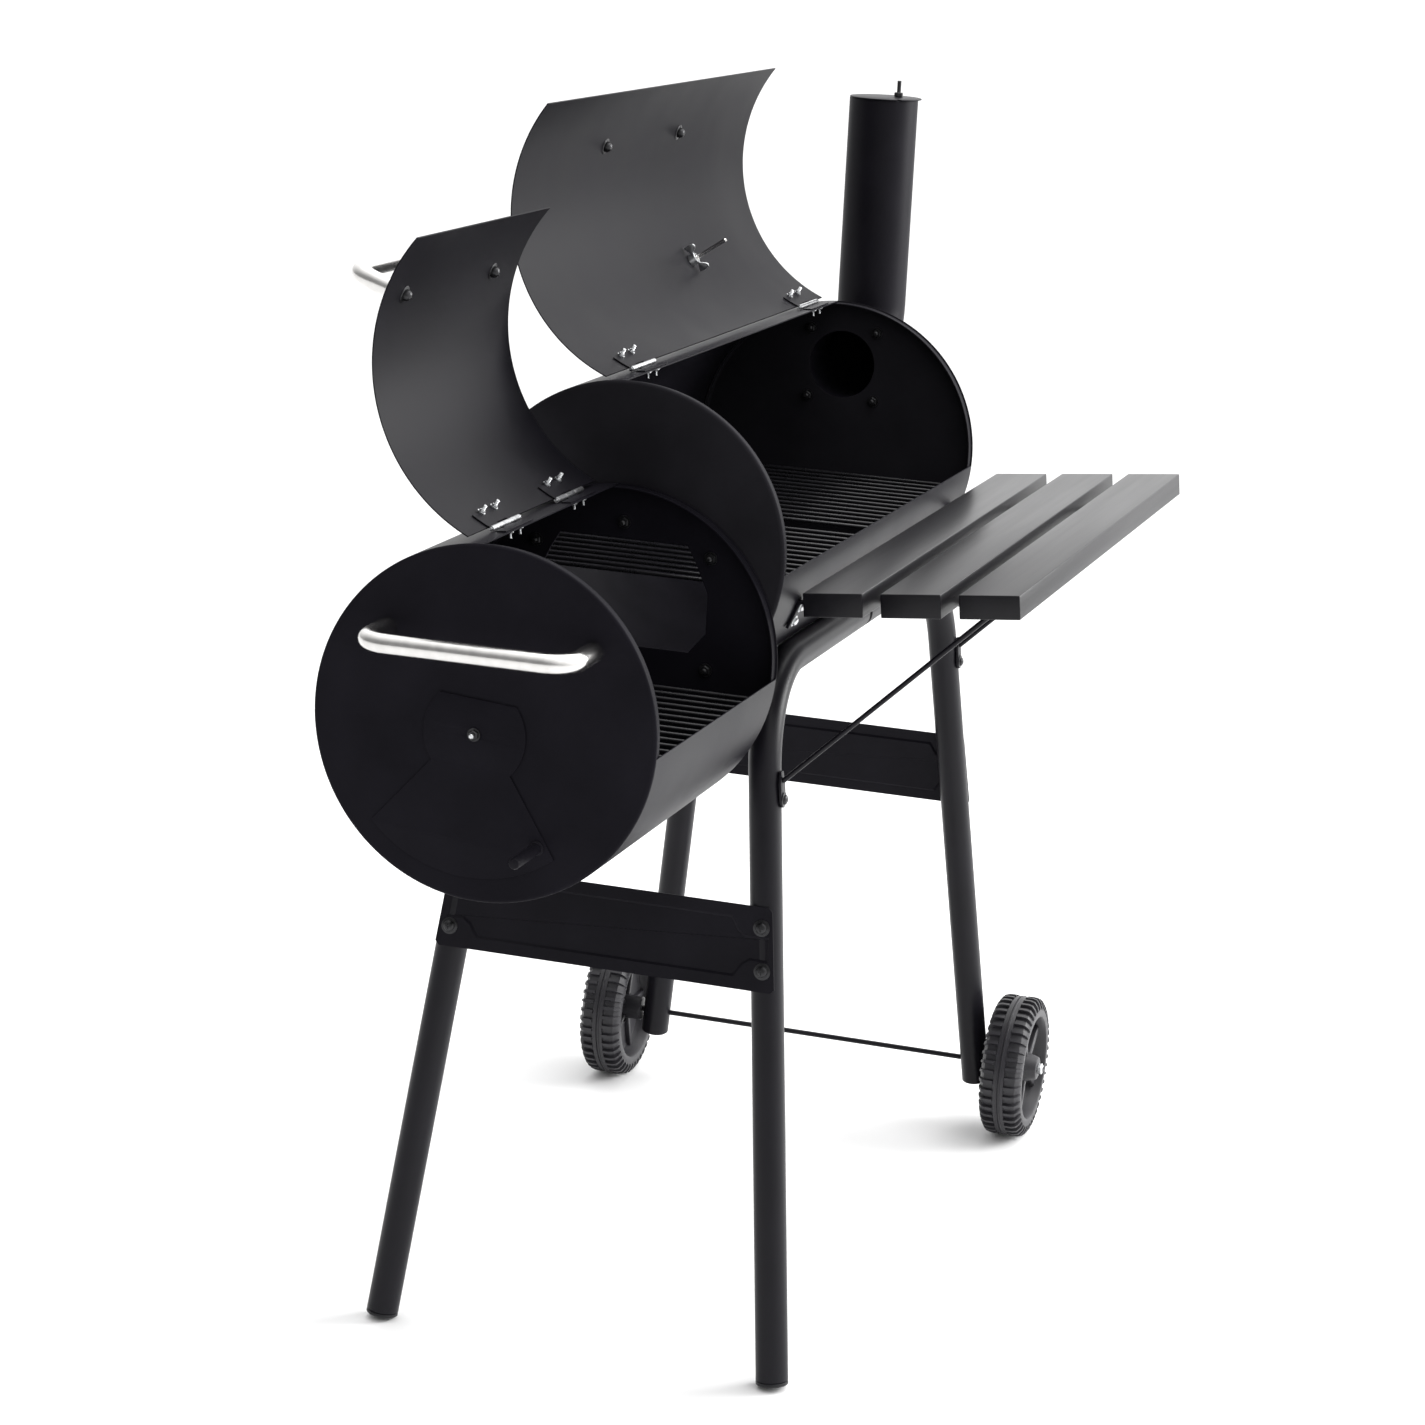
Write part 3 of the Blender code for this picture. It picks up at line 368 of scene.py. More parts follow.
def piece(name, shapes, look, body, stands_for=(), place=None, sharp=32):
    """Shapes made into one piece of the model, riding on a body and standing for CAD nodes."""
    bm = join(shapes if isinstance(shapes, list) else [shapes])
    if place:
        bm.transform(place)
    mesh = bpy.data.meshes.new(name)
    bm.to_mesh(mesh)
    bm.free()
    mesh.materials.append(look)
    mesh.shade_smooth()
    mesh.set_sharp_from_angle(angle=radians(sharp))
    obj = bpy.data.objects.new(name, mesh)
    bpy.context.scene.collection.objects.link(obj)
    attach(obj, body)
    if stands_for:
        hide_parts(*stands_for)
    return obj


def carve(shape, cutters):
    """One shape less others, by an exact Boolean."""
    objects = []
    for number, bm in enumerate([shape] + cutters):
        mesh = bpy.data.meshes.new("carve")
        bm.to_mesh(mesh)
        bm.free()
        objects.append(bpy.data.objects.new(f"carve_{number}", mesh))
        bpy.context.scene.collection.objects.link(objects[-1])
    for cutter in objects[1:]:
        cut = objects[0].modifiers.new("Cut", "BOOLEAN")
        cut.object = cutter
        cut.solver = "EXACT"
    bpy.context.view_layer.update()
    graph = bpy.context.evaluated_depsgraph_get()
    result = bmesh.new()
    result.from_mesh(bpy.data.meshes.new_from_object(objects[0].evaluated_get(graph)))
    for obj in objects:
        bpy.data.objects.remove(obj, do_unlink=True)
    return result


# Screws and nuts

def screw_head(point, axis, radius=0.0052, height=0.0034):
    """A domed head on a washer, with a cross recess."""
    washer = turned([(0, 0.0008), (radius * 1.35, 0.0008), (radius * 1.45, 0.0005), (radius * 1.45, 0), (0, 0)],
                    Matrix(), 28)
    dome = [(radius * cos(a), 0.0008 + 0.0006 + (height - 0.0006) * sin(a)) for a in
            [radians(d) for d in (90, 72, 54, 36, 18, 0)]]
    dome[0] = (0, dome[0][1])
    head = turned(dome + [(radius, 0.0008), (0, 0.0008)], Matrix(), 28)
    slots = [bar((radius * 1.1, radius * 0.2, 0.002), Matrix.Translation((0, 0, height + 0.0008))
                 @ Matrix.Rotation(a, 4, "Z"), 0.0001, 1) for a in (0, pi / 2)]
    whole = join([washer, carve(head, slots)])
    whole.transform(aim(point, axis))
    return whole


def nut_end(point, axis, across=0.0052, thickness=0.0042, tail=0.004, shank=0.0025):
    """A hex nut on a washer, with the screw's end standing through it."""
    hexagon = [(0, thickness), (across * 0.86, thickness), (across, thickness - 0.0008), (across, 0.0018),
               (across * 0.9, 0.001), (0, 0.001)]
    nut = turned(hexagon, Matrix(), 6)
    washer = turned([(0, 0.001), (across * 1.25, 0.001), (across * 1.25, 0), (0, 0)], Matrix(), 28)
    end = [(0, thickness + tail), (shank * 0.7, thickness + tail)]
    turns = max(2, int(tail / 0.0008))
    for i in range(turns):
        z = thickness + tail - 0.0005 - i * (tail - 0.0005) / turns
        end += [(shank, z), (shank * 0.82, z - 0.5 * (tail - 0.0005) / turns)]
    end += [(shank * 0.82, thickness - 0.0005), (0, thickness - 0.0005)]
    whole = join([nut, washer, turned(end, Matrix(), 16)])
    whole.transform(aim(point, axis))
    return whole


# Barrels

HEAT_HALF = ((0.064, 0.0096), (0.073, -0.0058), (0.0866, -0.035), (0.0866, -0.074), (0.070, -0.094))
JOINING_BOLTS = ((0.0, 0.025), (0.088, -0.0008), (-0.088, -0.0008), (0.0885, -0.109), (-0.0885, -0.109))
DAMPER_TURN = 4.7
PEG_ANGLE, PEG_DISTANCE = -38.2, 0.113
DAMPER_Y = middle("damper_pivot_screw").y - AXIS.y
DAMPER_Z = middle("damper_pivot_screw").z - AXIS.z
FLUE_Y = middle("chimney_flange").y - AXIS.y
FLUE_Z = middle("chimney_flange").z - AXIS.z


def end_cap(x, way, drop):
    """A pressed cap with a rolled rim; way is the way its face looks along X."""
    rim = [(0.1562 + 0.0038 * sin(a), -0.0030 + 0.0030 * cos(a)) for a in [radians(15 * i) for i in range(7)]]
    profile = [(0, 0), (0.12, 0)] + rim + [(RADIUS, -0.0033), (0.1583, -0.0036), (0.1583, -0.0138),
                                           (0.1580, -0.0140), (0.1573, -0.0140), (0.1571, -0.0138),
                                           (0.1571, -0.0030), (0.1553, -SHEET), (0, -SHEET)]
    return turned(profile, aim(spot(x, 0, -drop), (way, 0, 0)), 144)


def sector(start, end, half_angle, steps=12):
    angles = [radians(half_angle * (2 * i / steps - 1)) for i in range(steps + 1)]
    outer = [(end * sin(a), -end * cos(a)) for a in angles]
    return outer + [(start * sin(a), -start * cos(a)) for a in reversed(angles)]


def make_barrels():
    for name, start, end, drop in (("main_barrel", 0.0, MAIN_LENGTH, 0.0),
                                   ("firebox_barrel", -FIRE_LENGTH, -GAP, DROP)):
        shell = rolled(RADIUS, SHEET, LIP_ANGLE, STRIP_ANGLE - 360, (start + 0.0036, end - 0.0036), drop)
        seam = rolled(RADIUS - SHEET, 0.0007, -87, -93, (start + 0.016, end - 0.016), drop)
        piece(f"{name}_sheet", [shell, seam], ENAMEL, "grill_body", [name])
    outline = list(HEAT_HALF) + [(-y, z) for y, z in reversed(HEAT_HALF)]

    def opening():
        return plate([outline], 0.02, side_view(0), 0.00001)

    for node, x, way, drop, cutters in (
            ("main_end_cap_firebox_side", 0.0, -1, 0.0, [opening()]),
            ("firebox_end_cap_inner", -GAP, 1, DROP, [opening()]),
            ("main_end_cap_chimney_side", MAIN_LENGTH, 1, 0.0,
             [turned([(0, 0.01), (0.0378, 0.01), (0.0378, -0.01), (0, -0.01)],
                     aim(spot(MAIN_LENGTH, FLUE_Y, FLUE_Z), RIGHT), 64)]),
            ("firebox_end_cap_outer", -FIRE_LENGTH, -1, DROP,
             [plate([sector(0.056, 0.115, 30)], 0.02,
                    side_view(-FIRE_LENGTH) @ Matrix.Translation((DAMPER_Y, DAMPER_Z, 0)), 0.00001)])):
        # The main barrel's two caps take the lighter copy of the paint: painted light that lifts them out of their
        # shade
        look = CAP_ENAMEL if drop else MAIN_CAP_PAINTED_LIGHT
        piece(f"{node}_pressing", carve(end_cap(x, way, drop), cutters), look, "grill_body",
              [node], sharp=25)
    heads = [screw_head(spot(SHEET, y, z), RIGHT) for y, z in JOINING_BOLTS]
    nuts = [nut_end(spot(-GAP - SHEET, y, z), -RIGHT) for y, z in JOINING_BOLTS]
    piece("chamber_joining_screws", heads + nuts, BLACK_SCREW, "grill_body", sharp=25)


# Hinges

MAIN_HINGES = [middle(f"main_hinge_pin_{side}").x - AXIS.x for side in ("left", "right")]
FIRE_HINGES = [middle(f"firebox_hinge_pin_{side}").x - AXIS.x for side in ("left", "right")]
HINGE_WIDTH = high("main_hinge_pin_left").x - low("main_hinge_pin_left").x
LEAF = 0.001
BARREL_LEAF = 0.1613
BARREL_LEAF_ARC = (96.4, 93.1)
LID_LEAF = 0.1631
LID_LEAF_ARC = (96.5, 90.6)
LEAF_STEP = 0.5
LID_SCREW_ANGLE = 91.0
BARREL_SCREW_ANGLE = 94.9


def knuckle(x, width, drop):
    axis = on_barrel(HINGE_ANGLE, HINGE_RADIUS, x, drop)
    half = width / 2
    return turned([(0.0026, half - 0.0002), (0.0024, half), (0.0015, half), (0.0015, -half), (0.0024, -half),
                   (0.0026, -half + 0.0002)][::-1], aim(axis, RIGHT), 24, ring=True)


def tongue(x, width, drop, radius, from_angle, level):
    """Where a leaf runs into its knuckle."""
    span = (x - width / 2, x + width / 2)
    return rolled(radius + LEAF, LEAF, HINGE_ANGLE - level, from_angle - 0.2, span, drop, LEAF_STEP)


def make_hinges():
    third = HINGE_WIDTH / 3
    for prefix, hinges, drop, body in (("main", MAIN_HINGES, 0.0, "main_lid"),
                                       ("firebox", FIRE_HINGES, DROP, "firebox_lid")):
        for side, x in zip(("left", "right"), hinges):
            half = HINGE_WIDTH / 2
            leaf = rolled(BARREL_LEAF, LEAF, *BARREL_LEAF_ARC, (x - half, x + half), drop, LEAF_STEP)
            tab = tongue(x, third, drop, BARREL_LEAF - LEAF, BARREL_LEAF_ARC[0], 0.2)
            piece(f"{prefix}_barrel_hinge_{side}", [leaf, tab], ENAMEL, "grill_body",
                  [f"{prefix}_barrel_hinge_leaf_{side}"])
            piece(f"{prefix}_barrel_hinge_knuckle_{side}", knuckle(x, third, drop), ZINC, "grill_body")
            leaf = rolled(LID_LEAF, LEAF, *LID_LEAF_ARC, (x - half, x + half), drop, LEAF_STEP)
            outer = [x - third, x + third]
            tongues = [tongue(k, third - 0.0006, drop, LID_LEAF - LEAF, LID_LEAF_ARC[0], 0.65) for k in outer]
            piece(f"{prefix}_lid_hinge_{side}", [leaf] + tongues, LID_PAINTED_SHADE, body,
                  [f"{prefix}_lid_hinge_leaf_{side}"], place=opened(drop))
            piece(f"{prefix}_lid_hinge_knuckles_{side}", [knuckle(k, third - 0.0006, drop) for k in outer], ZINC,
                  body, place=opened(drop))
            pin = on_barrel(HINGE_ANGLE, HINGE_RADIUS, x, drop)
            piece(f"{prefix}_hinge_pin_{side}_rod",
                  turned([(0, half + 0.0008), (0.0010, half + 0.0008), (0.0018, half + 0.0003), (0.0018, half),
                          (0.0012, half), (0.0012, -half), (0.0018, -half), (0.0018, -half - 0.0003),
                          (0.0010, -half - 0.0008), (0, -half - 0.0008)], aim(pin, RIGHT), 20),
                  ZINC, "grill_body", [f"{prefix}_hinge_pin_{side}"])
            heads, ends, hanging = [], [], []
            for way in (-1, 1):
                screw_x = x + way * 0.015
                heads.append(screw_head(on_barrel(LID_SCREW_ANGLE, LID_RADIUS, screw_x, drop),
                                        outward(LID_SCREW_ANGLE), 0.0026, 0.0022))
                ends.append(nut_end(on_barrel(LID_SCREW_ANGLE, LID_LEAF - LEAF, screw_x, drop),
                                    -outward(LID_SCREW_ANGLE), 0.0031, 0.0030, 0.0050, 0.0018))
                hanging.append(nut_end(on_barrel(BARREL_SCREW_ANGLE, RADIUS - SHEET, x + way * 0.012, drop),
                                       -outward(BARREL_SCREW_ANGLE), 0.0038, 0.0030, 0.0050, 0.0018))
            piece(f"{prefix}_lid_hinge_screws_{side}", heads + ends, ZINC, body, place=opened(drop))
            piece(f"{prefix}_barrel_hinge_screws_{side}", hanging, ZINC, "grill_body")


# Lids

MAIN_FEET = (0.2438, 0.4719)
FIRE_FEET = (-0.2911, -0.0816)
LID_SPANS = {name: (low(name).x - AXIS.x, high(name).x - AXIS.x) for name in ("main_lid", "firebox_lid")}
GAUGE_X = 0.4644
GAUGE_ANGLE = 63.5
WING_TURN = 1.2


def tube_handle(points):
    return pipe(rounded(points, 0.024, 14), HANDLE_TUBE, 0.0012, 40)


def make_lids():
    for prefix, feet, drop in (("main", MAIN_FEET, 0.0), ("firebox", FIRE_FEET, DROP)):
        name = f"{prefix}_lid"
        shell = rolled(LID_RADIUS, SHEET, LID_ARC[1], LID_ARC[0], LID_SPANS[name], drop, 1.5)
        if prefix == "main":
            hole = turned([(0, 0.01), (0.0036, 0.01), (0.0036, -0.01), (0, -0.01)],
                          aim(on_barrel(GAUGE_ANGLE, LID_RADIUS, GAUGE_X), outward(GAUGE_ANGLE)), 24)
            shell = carve(shell, [hole])
        piece(f"{name}_sheet", shell, LID_PAINTED_SHADE, name, [name], place=opened(drop))
        radii = (LID_RADIUS + GAP, LID_RADIUS + 0.050)
        points = [on_barrel(HANDLE_ANGLE, r, x, drop) for x, r in
                  ((feet[0], radii[0]), (feet[0], radii[1]), (feet[1], radii[1]), (feet[1], radii[0]))]
        piece(f"{name}_tube_handle", tube_handle(points), STAINLESS, name, [f"{name}_handle"],
              place=opened(drop))
        screws = [screw_head(on_barrel(HANDLE_ANGLE, LID_RADIUS - SHEET, x, drop), -outward(HANDLE_ANGLE), 0.0056,
                             0.0066) for x in feet]
        piece(f"{name}_handle_screws", screws, BLACK_SCREW, name, place=opened(drop))


def make_thermometer():
    place = opened(0.0) @ aim(on_barrel(GAUGE_ANGLE, LID_RADIUS + GAP, GAUGE_X), outward(GAUGE_ANGLE), -RIGHT)
    dial, rim, top = 0.0255, 0.029, 0.012
    bezel = [(0, 0.0024), (dial, 0.0024), (dial, top - 0.0008), (dial + 0.0006, top), (rim - 0.0014, top),
             (rim - 0.0004, top - 0.0006), (rim, top - 0.0018), (rim, 0.0012), (rim - 0.001, 0.0),
             (0.0052, 0.0), (0.0052, -0.0002), (0.0030, -0.0002)]
    thread = []
    for i in range(11):
        thread += [(0.0030, -0.0010 - i * 0.001), (0.0026, -0.0015 - i * 0.001)]
    probe = [(0.0022, -0.0130), (0.0022, -0.0465), (0.0012, -0.048), (0, -0.048)]
    piece("thermometer_bezel", turned(bezel + thread + probe, place, 64), STAINLESS, "main_lid",
          ["thermometer_case"])
    piece("thermometer_dial_face", turned([(0, 0.0031), (dial - 0.0004, 0.0031), (dial - 0.0004, 0.0025),
                                           (0, 0.0025)], place, 64), DIAL, "main_lid")
    ticks = []
    for i in range(28):
        turn = radians(-135 + i * 10)
        long = i % 3 == 0
        reach = 0.0045 if long else 0.0025
        seat = Matrix.Rotation(turn, 4, "Z") @ Matrix.Translation((-0.0235 + reach / 2, 0, 0.00325))
        ticks.append(bar((reach, 0.0008 if long else 0.0004, 0.0003), place @ seat, 0.00005, 1))
    piece("thermometer_dial_marks", ticks, DIAL_BLACK, "main_lid")
    piece("thermometer_glass_disc", turned([(0, 0.0108), (0.012, 0.0106), (dial - 0.0006, 0.0100),
                                            (dial - 0.0006, 0.0090), (0, 0.0090)], place, 64),
          GLASS, "main_lid", ["thermometer_glass"])
    blade = [(-0.0035, -0.0010), (0.0165, -0.00025), (0.0168, 0.0), (0.0165, 0.00025), (-0.0035, 0.0010)]
    boss = turned([(0, 0.0075), (0.0018, 0.0073), (0.0020, 0.0068), (0.0020, 0.0058), (0, 0.0058)], place, 24)
    piece("thermometer_pointer", [plate([blade], 0.0006, place @ Matrix.Translation((0, 0, 0.0062)), 0.0001), boss],
          NEEDLE, "thermometer_needle", ["thermometer_needle"])
    inside = -SHEET - 3 * GAP
    nut = [turned([(0.0070, inside), (0.0066, inside - 0.0025), (0.0056, inside - 0.0070), (0.0052, inside - 0.0075),
                   (0.0033, inside - 0.0075), (0.0033, inside)][::-1], place, 32, ring=True)]
    wing = [(0.0045, -0.0062), (0.0075, -0.0040), (0.0150, -0.0012), (0.0158, -0.0020), (0.0160, -0.0090),
            (0.0150, -0.0125), (0.0125, -0.0135), (0.0100, -0.0120), (0.0065, -0.0072), (0.0045, -0.0070)]
    for turn in (WING_TURN, WING_TURN + pi):
        flat = place @ Matrix.Rotation(turn, 4, "Z") @ Matrix.Rotation(pi / 2, 4, "X")
        flat = flat @ Matrix.Translation((0, inside, 0))
        nut.append(plate([wing], 0.0022, flat, 0.0005))
    piece("thermometer_wing_nut_forged", nut, ZINC, "main_lid", ["thermometer_wing_nut"], sharp=25)


# Fittings on the fire box's end

def make_end_fittings():
    face = -FIRE_LENGTH - GAP
    reach = low("end_handle").x - AXIS.x + HANDLE_TUBE
    height = middle("end_handle").z - AXIS.z
    feet = (high("end_handle").y - AXIS.y - HANDLE_TUBE, low("end_handle").y - AXIS.y + HANDLE_TUBE)
    points = [spot(x, y, height) for x, y in ((face, feet[0]), (reach, feet[0]), (reach, feet[1]), (face, feet[1]))]
    piece("end_tube_handle", tube_handle(points), STAINLESS, "grill_body", ["end_handle"])
    inner = -FIRE_LENGTH + SHEET
    piece("end_handle_screws", [screw_head(spot(inner, y, height), RIGHT, 0.0062, 0.0040) for y in feet],
          BLACK_SCREW, "grill_body")

    hub, sweep, top, notch, half = 0.048, 0.1296, 0.032, radians(51), 42
    crown = pi - acos(top / hub)
    blade = [radians(half * (i / 14 - 1)) for i in range(29)]
    right = [notch + (crown - notch) * i / 14 for i in range(15)]
    outline = [(sweep * sin(a), -sweep * cos(a)) for a in blade]
    outline += [(hub * sin(a), -hub * cos(a)) for a in right]
    outline += [(-hub * sin(a), -hub * cos(a)) for a in reversed(right)]
    place = side_view(face - SHEET / 2) @ Matrix.Translation((DAMPER_Y, DAMPER_Z, 0)) @ Matrix.Rotation(
        radians(DAMPER_TURN), 4, "Z")
    piece("air_damper_plate", plate([outline, circle(0, 0, 0.0031, 24)], SHEET, place, 0.0004), CAP_ENAMEL,
          "air_damper", ["air_damper"], sharp=25)
    angle, distance = radians(PEG_ANGLE), PEG_DISTANCE
    seat = place @ Vector((distance * sin(angle), -distance * cos(angle), 0))
    piece("air_damper_peg", turned([(0, 0.0570), (0.0030, 0.0570), (0.0045, 0.0564), (0.0053, 0.0550),
                                    (0.0053, 0.0030), (0.0065, 0.0022), (0.0065, 0.0009), (0, 0.0009)],
                                   aim(seat, -RIGHT), 36), ENAMEL, "air_damper", ["damper_peg"])
    seat = spot(face - SHEET - GAP, DAMPER_Y, DAMPER_Z)
    inside = screw_head(spot(inner, DAMPER_Y, DAMPER_Z), RIGHT)
    piece("air_damper_pivot", [nut_end(seat, -RIGHT, 0.0048, 0.0042, 0.0006), inside], BLACK_SCREW,
          "grill_body", ["damper_pivot_screw"])
    piece("air_damper_pivot_end", turned([(0, 0.0082), (0.0017, 0.0080), (0.0023, 0.0072), (0.0023, 0.0050),
                                          (0, 0.0050)], aim(seat, -RIGHT), 20), ZINC, "grill_body")


# Frame

LEG = 0.016
RAIL_Y, RAIL_Z = 0.1312, -0.1179
LEG_CORNER = 0.0498
FOOT = Vector((-0.0394, 0.2069, -0.8072))
FRAME_SHIFT = 0.0137
LEG_BEND = 0.108
SLEEVE_END, RAIL_END = 0.372, 0.330
PANEL_Z = (-0.3796, -0.3726)
PANEL_BOLT = 0.0208
STAY_Z = -0.2354


def leg_place(point, far, side):
    x = MAIN_LENGTH + 2 * FRAME_SHIFT - point.x if far else point.x
    return spot(x, side * point.y, point.z)


def leg_point(z, far, side):
    corner = Vector((LEG_CORNER, RAIL_Y, RAIL_Z))
    return leg_place(corner + (FOOT - corner) * (z - RAIL_Z) / (FOOT.z - RAIL_Z), far, side)


def climb_of(far, side):
    return (leg_point(0, far, side) - leg_point(-1, far, side)).normalized()


def make_legs():
    for far, far_name in ((False, "left"), (True, "right")):
        for side, side_name in ((-1, "front"), (1, "back")):
            climb = climb_of(far, side)
            lean = (1 - climb.z ** 2) ** 0.5
            foot = leg_point(-0.7504 if far else FOOT.z + LEG * lean, far, side)
            end = foot if far else foot + climb * 0.0043
            sleeve = leg_place(Vector((SLEEVE_END, RAIL_Y, RAIL_Z)), far, side)
            corner = leg_place(Vector((LEG_CORNER, RAIL_Y, RAIL_Z)), far, side)
            name = f"leg_{far_name}_{side_name}"
            tube = pipe(rounded([sleeve, corner, end], LEG_BEND, 20), LEG, SHEET, 40, 0.0009)
            piece(f"{name}_tube", tube, TUBE_PAINTED_SHADE, "grill_body", [name])
            if not far:
                cap = [(0, 0.018), (0.0136, 0.018), (0.0138, 0.0044), (0.0158, 0.0042), (LEG, 0.0036), (LEG, 0.0016),
                       (0.0145, 0.0002), (0.0125, 0.0), (0, 0.0)]
                piece(f"foot_cap_{side_name}", turned(cap, aim(foot, climb), 40), PLASTIC,
                      "grill_body", [f"foot_plug_{side_name}"])
    for side, side_name in ((-1, "front"), (1, "back")):
        ends = [leg_place(Vector((RAIL_END, RAIL_Y, RAIL_Z)), far, side) for far in (False, True)]
        piece(f"rail_{side_name}_tube", pipe(ends, 0.0139, SHEET, 40), TUBE_PAINTED_SHADE,
              "grill_body", [f"rail_{side_name}"])
    bolts = []
    for far in (False, True):
        for side in (-1, 1):
            way = Vector((0, side * RAIL_Y, RAIL_Z)).normalized()
            centre = leg_place(Vector((0.165, RAIL_Y, RAIL_Z)), far, side)
            bolts.append(screw_head(spot(centre.x - AXIS.x, 0, 0) + way * (RADIUS - SHEET), -way))
    piece("barrel_to_leg_screws", bolts, BLACK_SCREW, "grill_body")


def offset(points, distance):
    """A closed outline moved inwards by a distance."""
    points = [Vector(p) for p in points]
    moved = []
    for i, point in enumerate(points):
        before = (point - points[i - 1]).normalized()
        after = (points[(i + 1) % len(points)] - point).normalized()
        normal = Vector((-before.y - after.y, before.x + after.x)).normalized()
        moved.append(point + normal * distance / normal.dot(Vector((-before.y, before.x))))
    return [tuple(p) for p in moved]


def panel_recess(half_low, half_high, height):
    """The pressed recess: long, with a tongue that runs out between each end's two screws."""
    y0, y1 = -height / 2 + 0.012, height / 2 - 0.012
    tongue_half, shoulder = 0.012, 0.036
    right = []
    for y, way in ((y0, -1), (y1, 1)):
        edge = half_low + (half_high - half_low) * (y + height / 2) / height - shoulder
        corner = [(edge - 0.005, y), (edge + 0.003, way * (tongue_half + 0.005)), (edge + 0.010, way * tongue_half)]
        right += corner if way < 0 else corner[::-1]
    tip = (half_low + half_high) / 2 - 0.0045
    end = [(tip - 0.001, -tongue_half), (tip, -tongue_half + 0.001), (tip, tongue_half - 0.001),
           (tip - 0.001, tongue_half)]
    right = right[:3] + end + right[3:]
    return right + [(-x, y) for x, y in reversed(right)]


def make_panels():
    height, half_low, half_high, sheet = 0.083, 0.176, 0.1672, 0.001
    for far, name in ((False, "left"), (True, "right")):
        slope = climb_of(far, 1)
        up = Vector((slope.x, 0, slope.z)).normalized()
        out = Vector((-up.z, 0, up.x)) if not far else Vector((up.z, 0, -up.x))
        centre = leg_point(PANEL_Z[far], far, 1) + out * (LEG + GAP + sheet)
        centre.y = AXIS.y
        place = Matrix.Translation(centre) @ Matrix((up.cross(out), up, out)).transposed().to_4x4()
        cut = 0.004
        outline = []
        for x, y, sx, sy in ((-half_low, -height / 2, 1, 1), (half_low, -height / 2, -1, 1),
                             (half_high, height / 2, -1, -1), (-half_high, height / 2, 1, -1)):
            pair = [(x + sx * cut, y), (x, y + sy * cut)]
            outline += pair if sx * sy < 0 else pair[::-1]
        recess = panel_recess(half_low, half_high, height)
        depth = 0.0016
        bm = bmesh.new()
        loops = [[(x, y, 0) for x, y in outline], [(x, y, 0) for x, y in recess],
                 [(x, y, -depth) for x, y in offset(recess, 0.0022)]]
        verts = [[bm.verts.new(p) for p in loop] for loop in loops]
        edges = [[bm.edges.new((a, b)) for a, b in zip(loop, loop[1:] + loop[:1])] for loop in verts]
        bmesh.ops.triangle_fill(bm, use_beauty=True, edges=edges[0] + edges[1])
        for k in range(len(recess)):
            following = (k + 1) % len(recess)
            bm.faces.new((verts[1][k], verts[1][following], verts[2][following], verts[2][k]))
        bm.faces.new(verts[2])
        for face in bm.faces:
            face.normal_update()
            if face.normal.z < 0:
                face.normal_flip()
        bmesh.ops.solidify(bm, geom=bm.faces[:], thickness=sheet)
        piece(f"end_panel_{name}_pressing", closed(bm, place), ENAMEL, "grill_body",
              [f"end_panel_{name}"], sharp=20)
        screws = []
        for side in (-1, 1):
            for z in (PANEL_Z[far] + PANEL_BOLT, PANEL_Z[far] - PANEL_BOLT):
                point = leg_point(z, far, side)
                screws.append(screw_head(point + out * (LEG + GAP + sheet), out, 0.0058, 0.0036))
        piece(f"end_panel_{name}_screws", screws, BLACK_SCREW, "grill_body")


# Wheels

LUGS = 44
WHEEL_Y = 0.2464


def wheel_section(radius):
    """Half of a wheel's section: hub, web, raised rim and tread, from the hub's outer end to the tread's middle."""
    hub = [(0.0036, 0.0288), (0.0105, 0.0288), (0.0128, 0.0280), (0.0138, 0.0262), (0.0178, 0.0125)]
    web = [(0.0200, 0.0082), (0.0235, 0.0066), (0.0500, 0.0060), (0.0560, 0.0072), (0.0582, 0.0120)]
    rim = [(0.0592, 0.0215), (0.0606, 0.0238), (0.0626, 0.0243), (0.0690, 0.0238), (0.0730, 0.0216)]
    tread = [(0.0052, 0.0185), (0.0040, 0.0150), (0.0038, 0.0066), (0.0016, 0.0060), (0.0014, 0.0024),
             (0.0004, 0.0018), (0.0004, 0.0010), (0.0018, 0.0005)]
    return hub + web + rim + [(radius - depth, across) for depth, across in tread]


def tread_lug(radius, turn, face):
    """A tread lug: from the centre band, over the tread's shoulder, down to the wheel's face."""
    line = ((radius - 0.0006, 0.0066), (radius - 0.0006, 0.0150), (radius - 0.0020, 0.0198), (0.0758, 0.0232),
            (0.0705, 0.0250))
    bm = bmesh.new()
    loops = []
    for i, (reach, across) in enumerate(line):
        depth = 0.0040 if i < 3 else 0.0026
        half = 0.0024 if i < 3 else 0.0019
        low_edge = Vector((reach - depth, 0, face * (across - 0.0012)))
        high_edge = Vector((reach + 0.0004, 0, face * across))
        loops.append([turn @ (end + Vector((0, width, 0))) for end, width in
                      ((low_edge, -half), (low_edge, half), (high_edge, half * 0.75), (high_edge, -half * 0.75))])
    made = bridge(bm, loops)
    bm.faces.new(made[0])
    bm.faces.new(made[-1])
    return closed(bm)


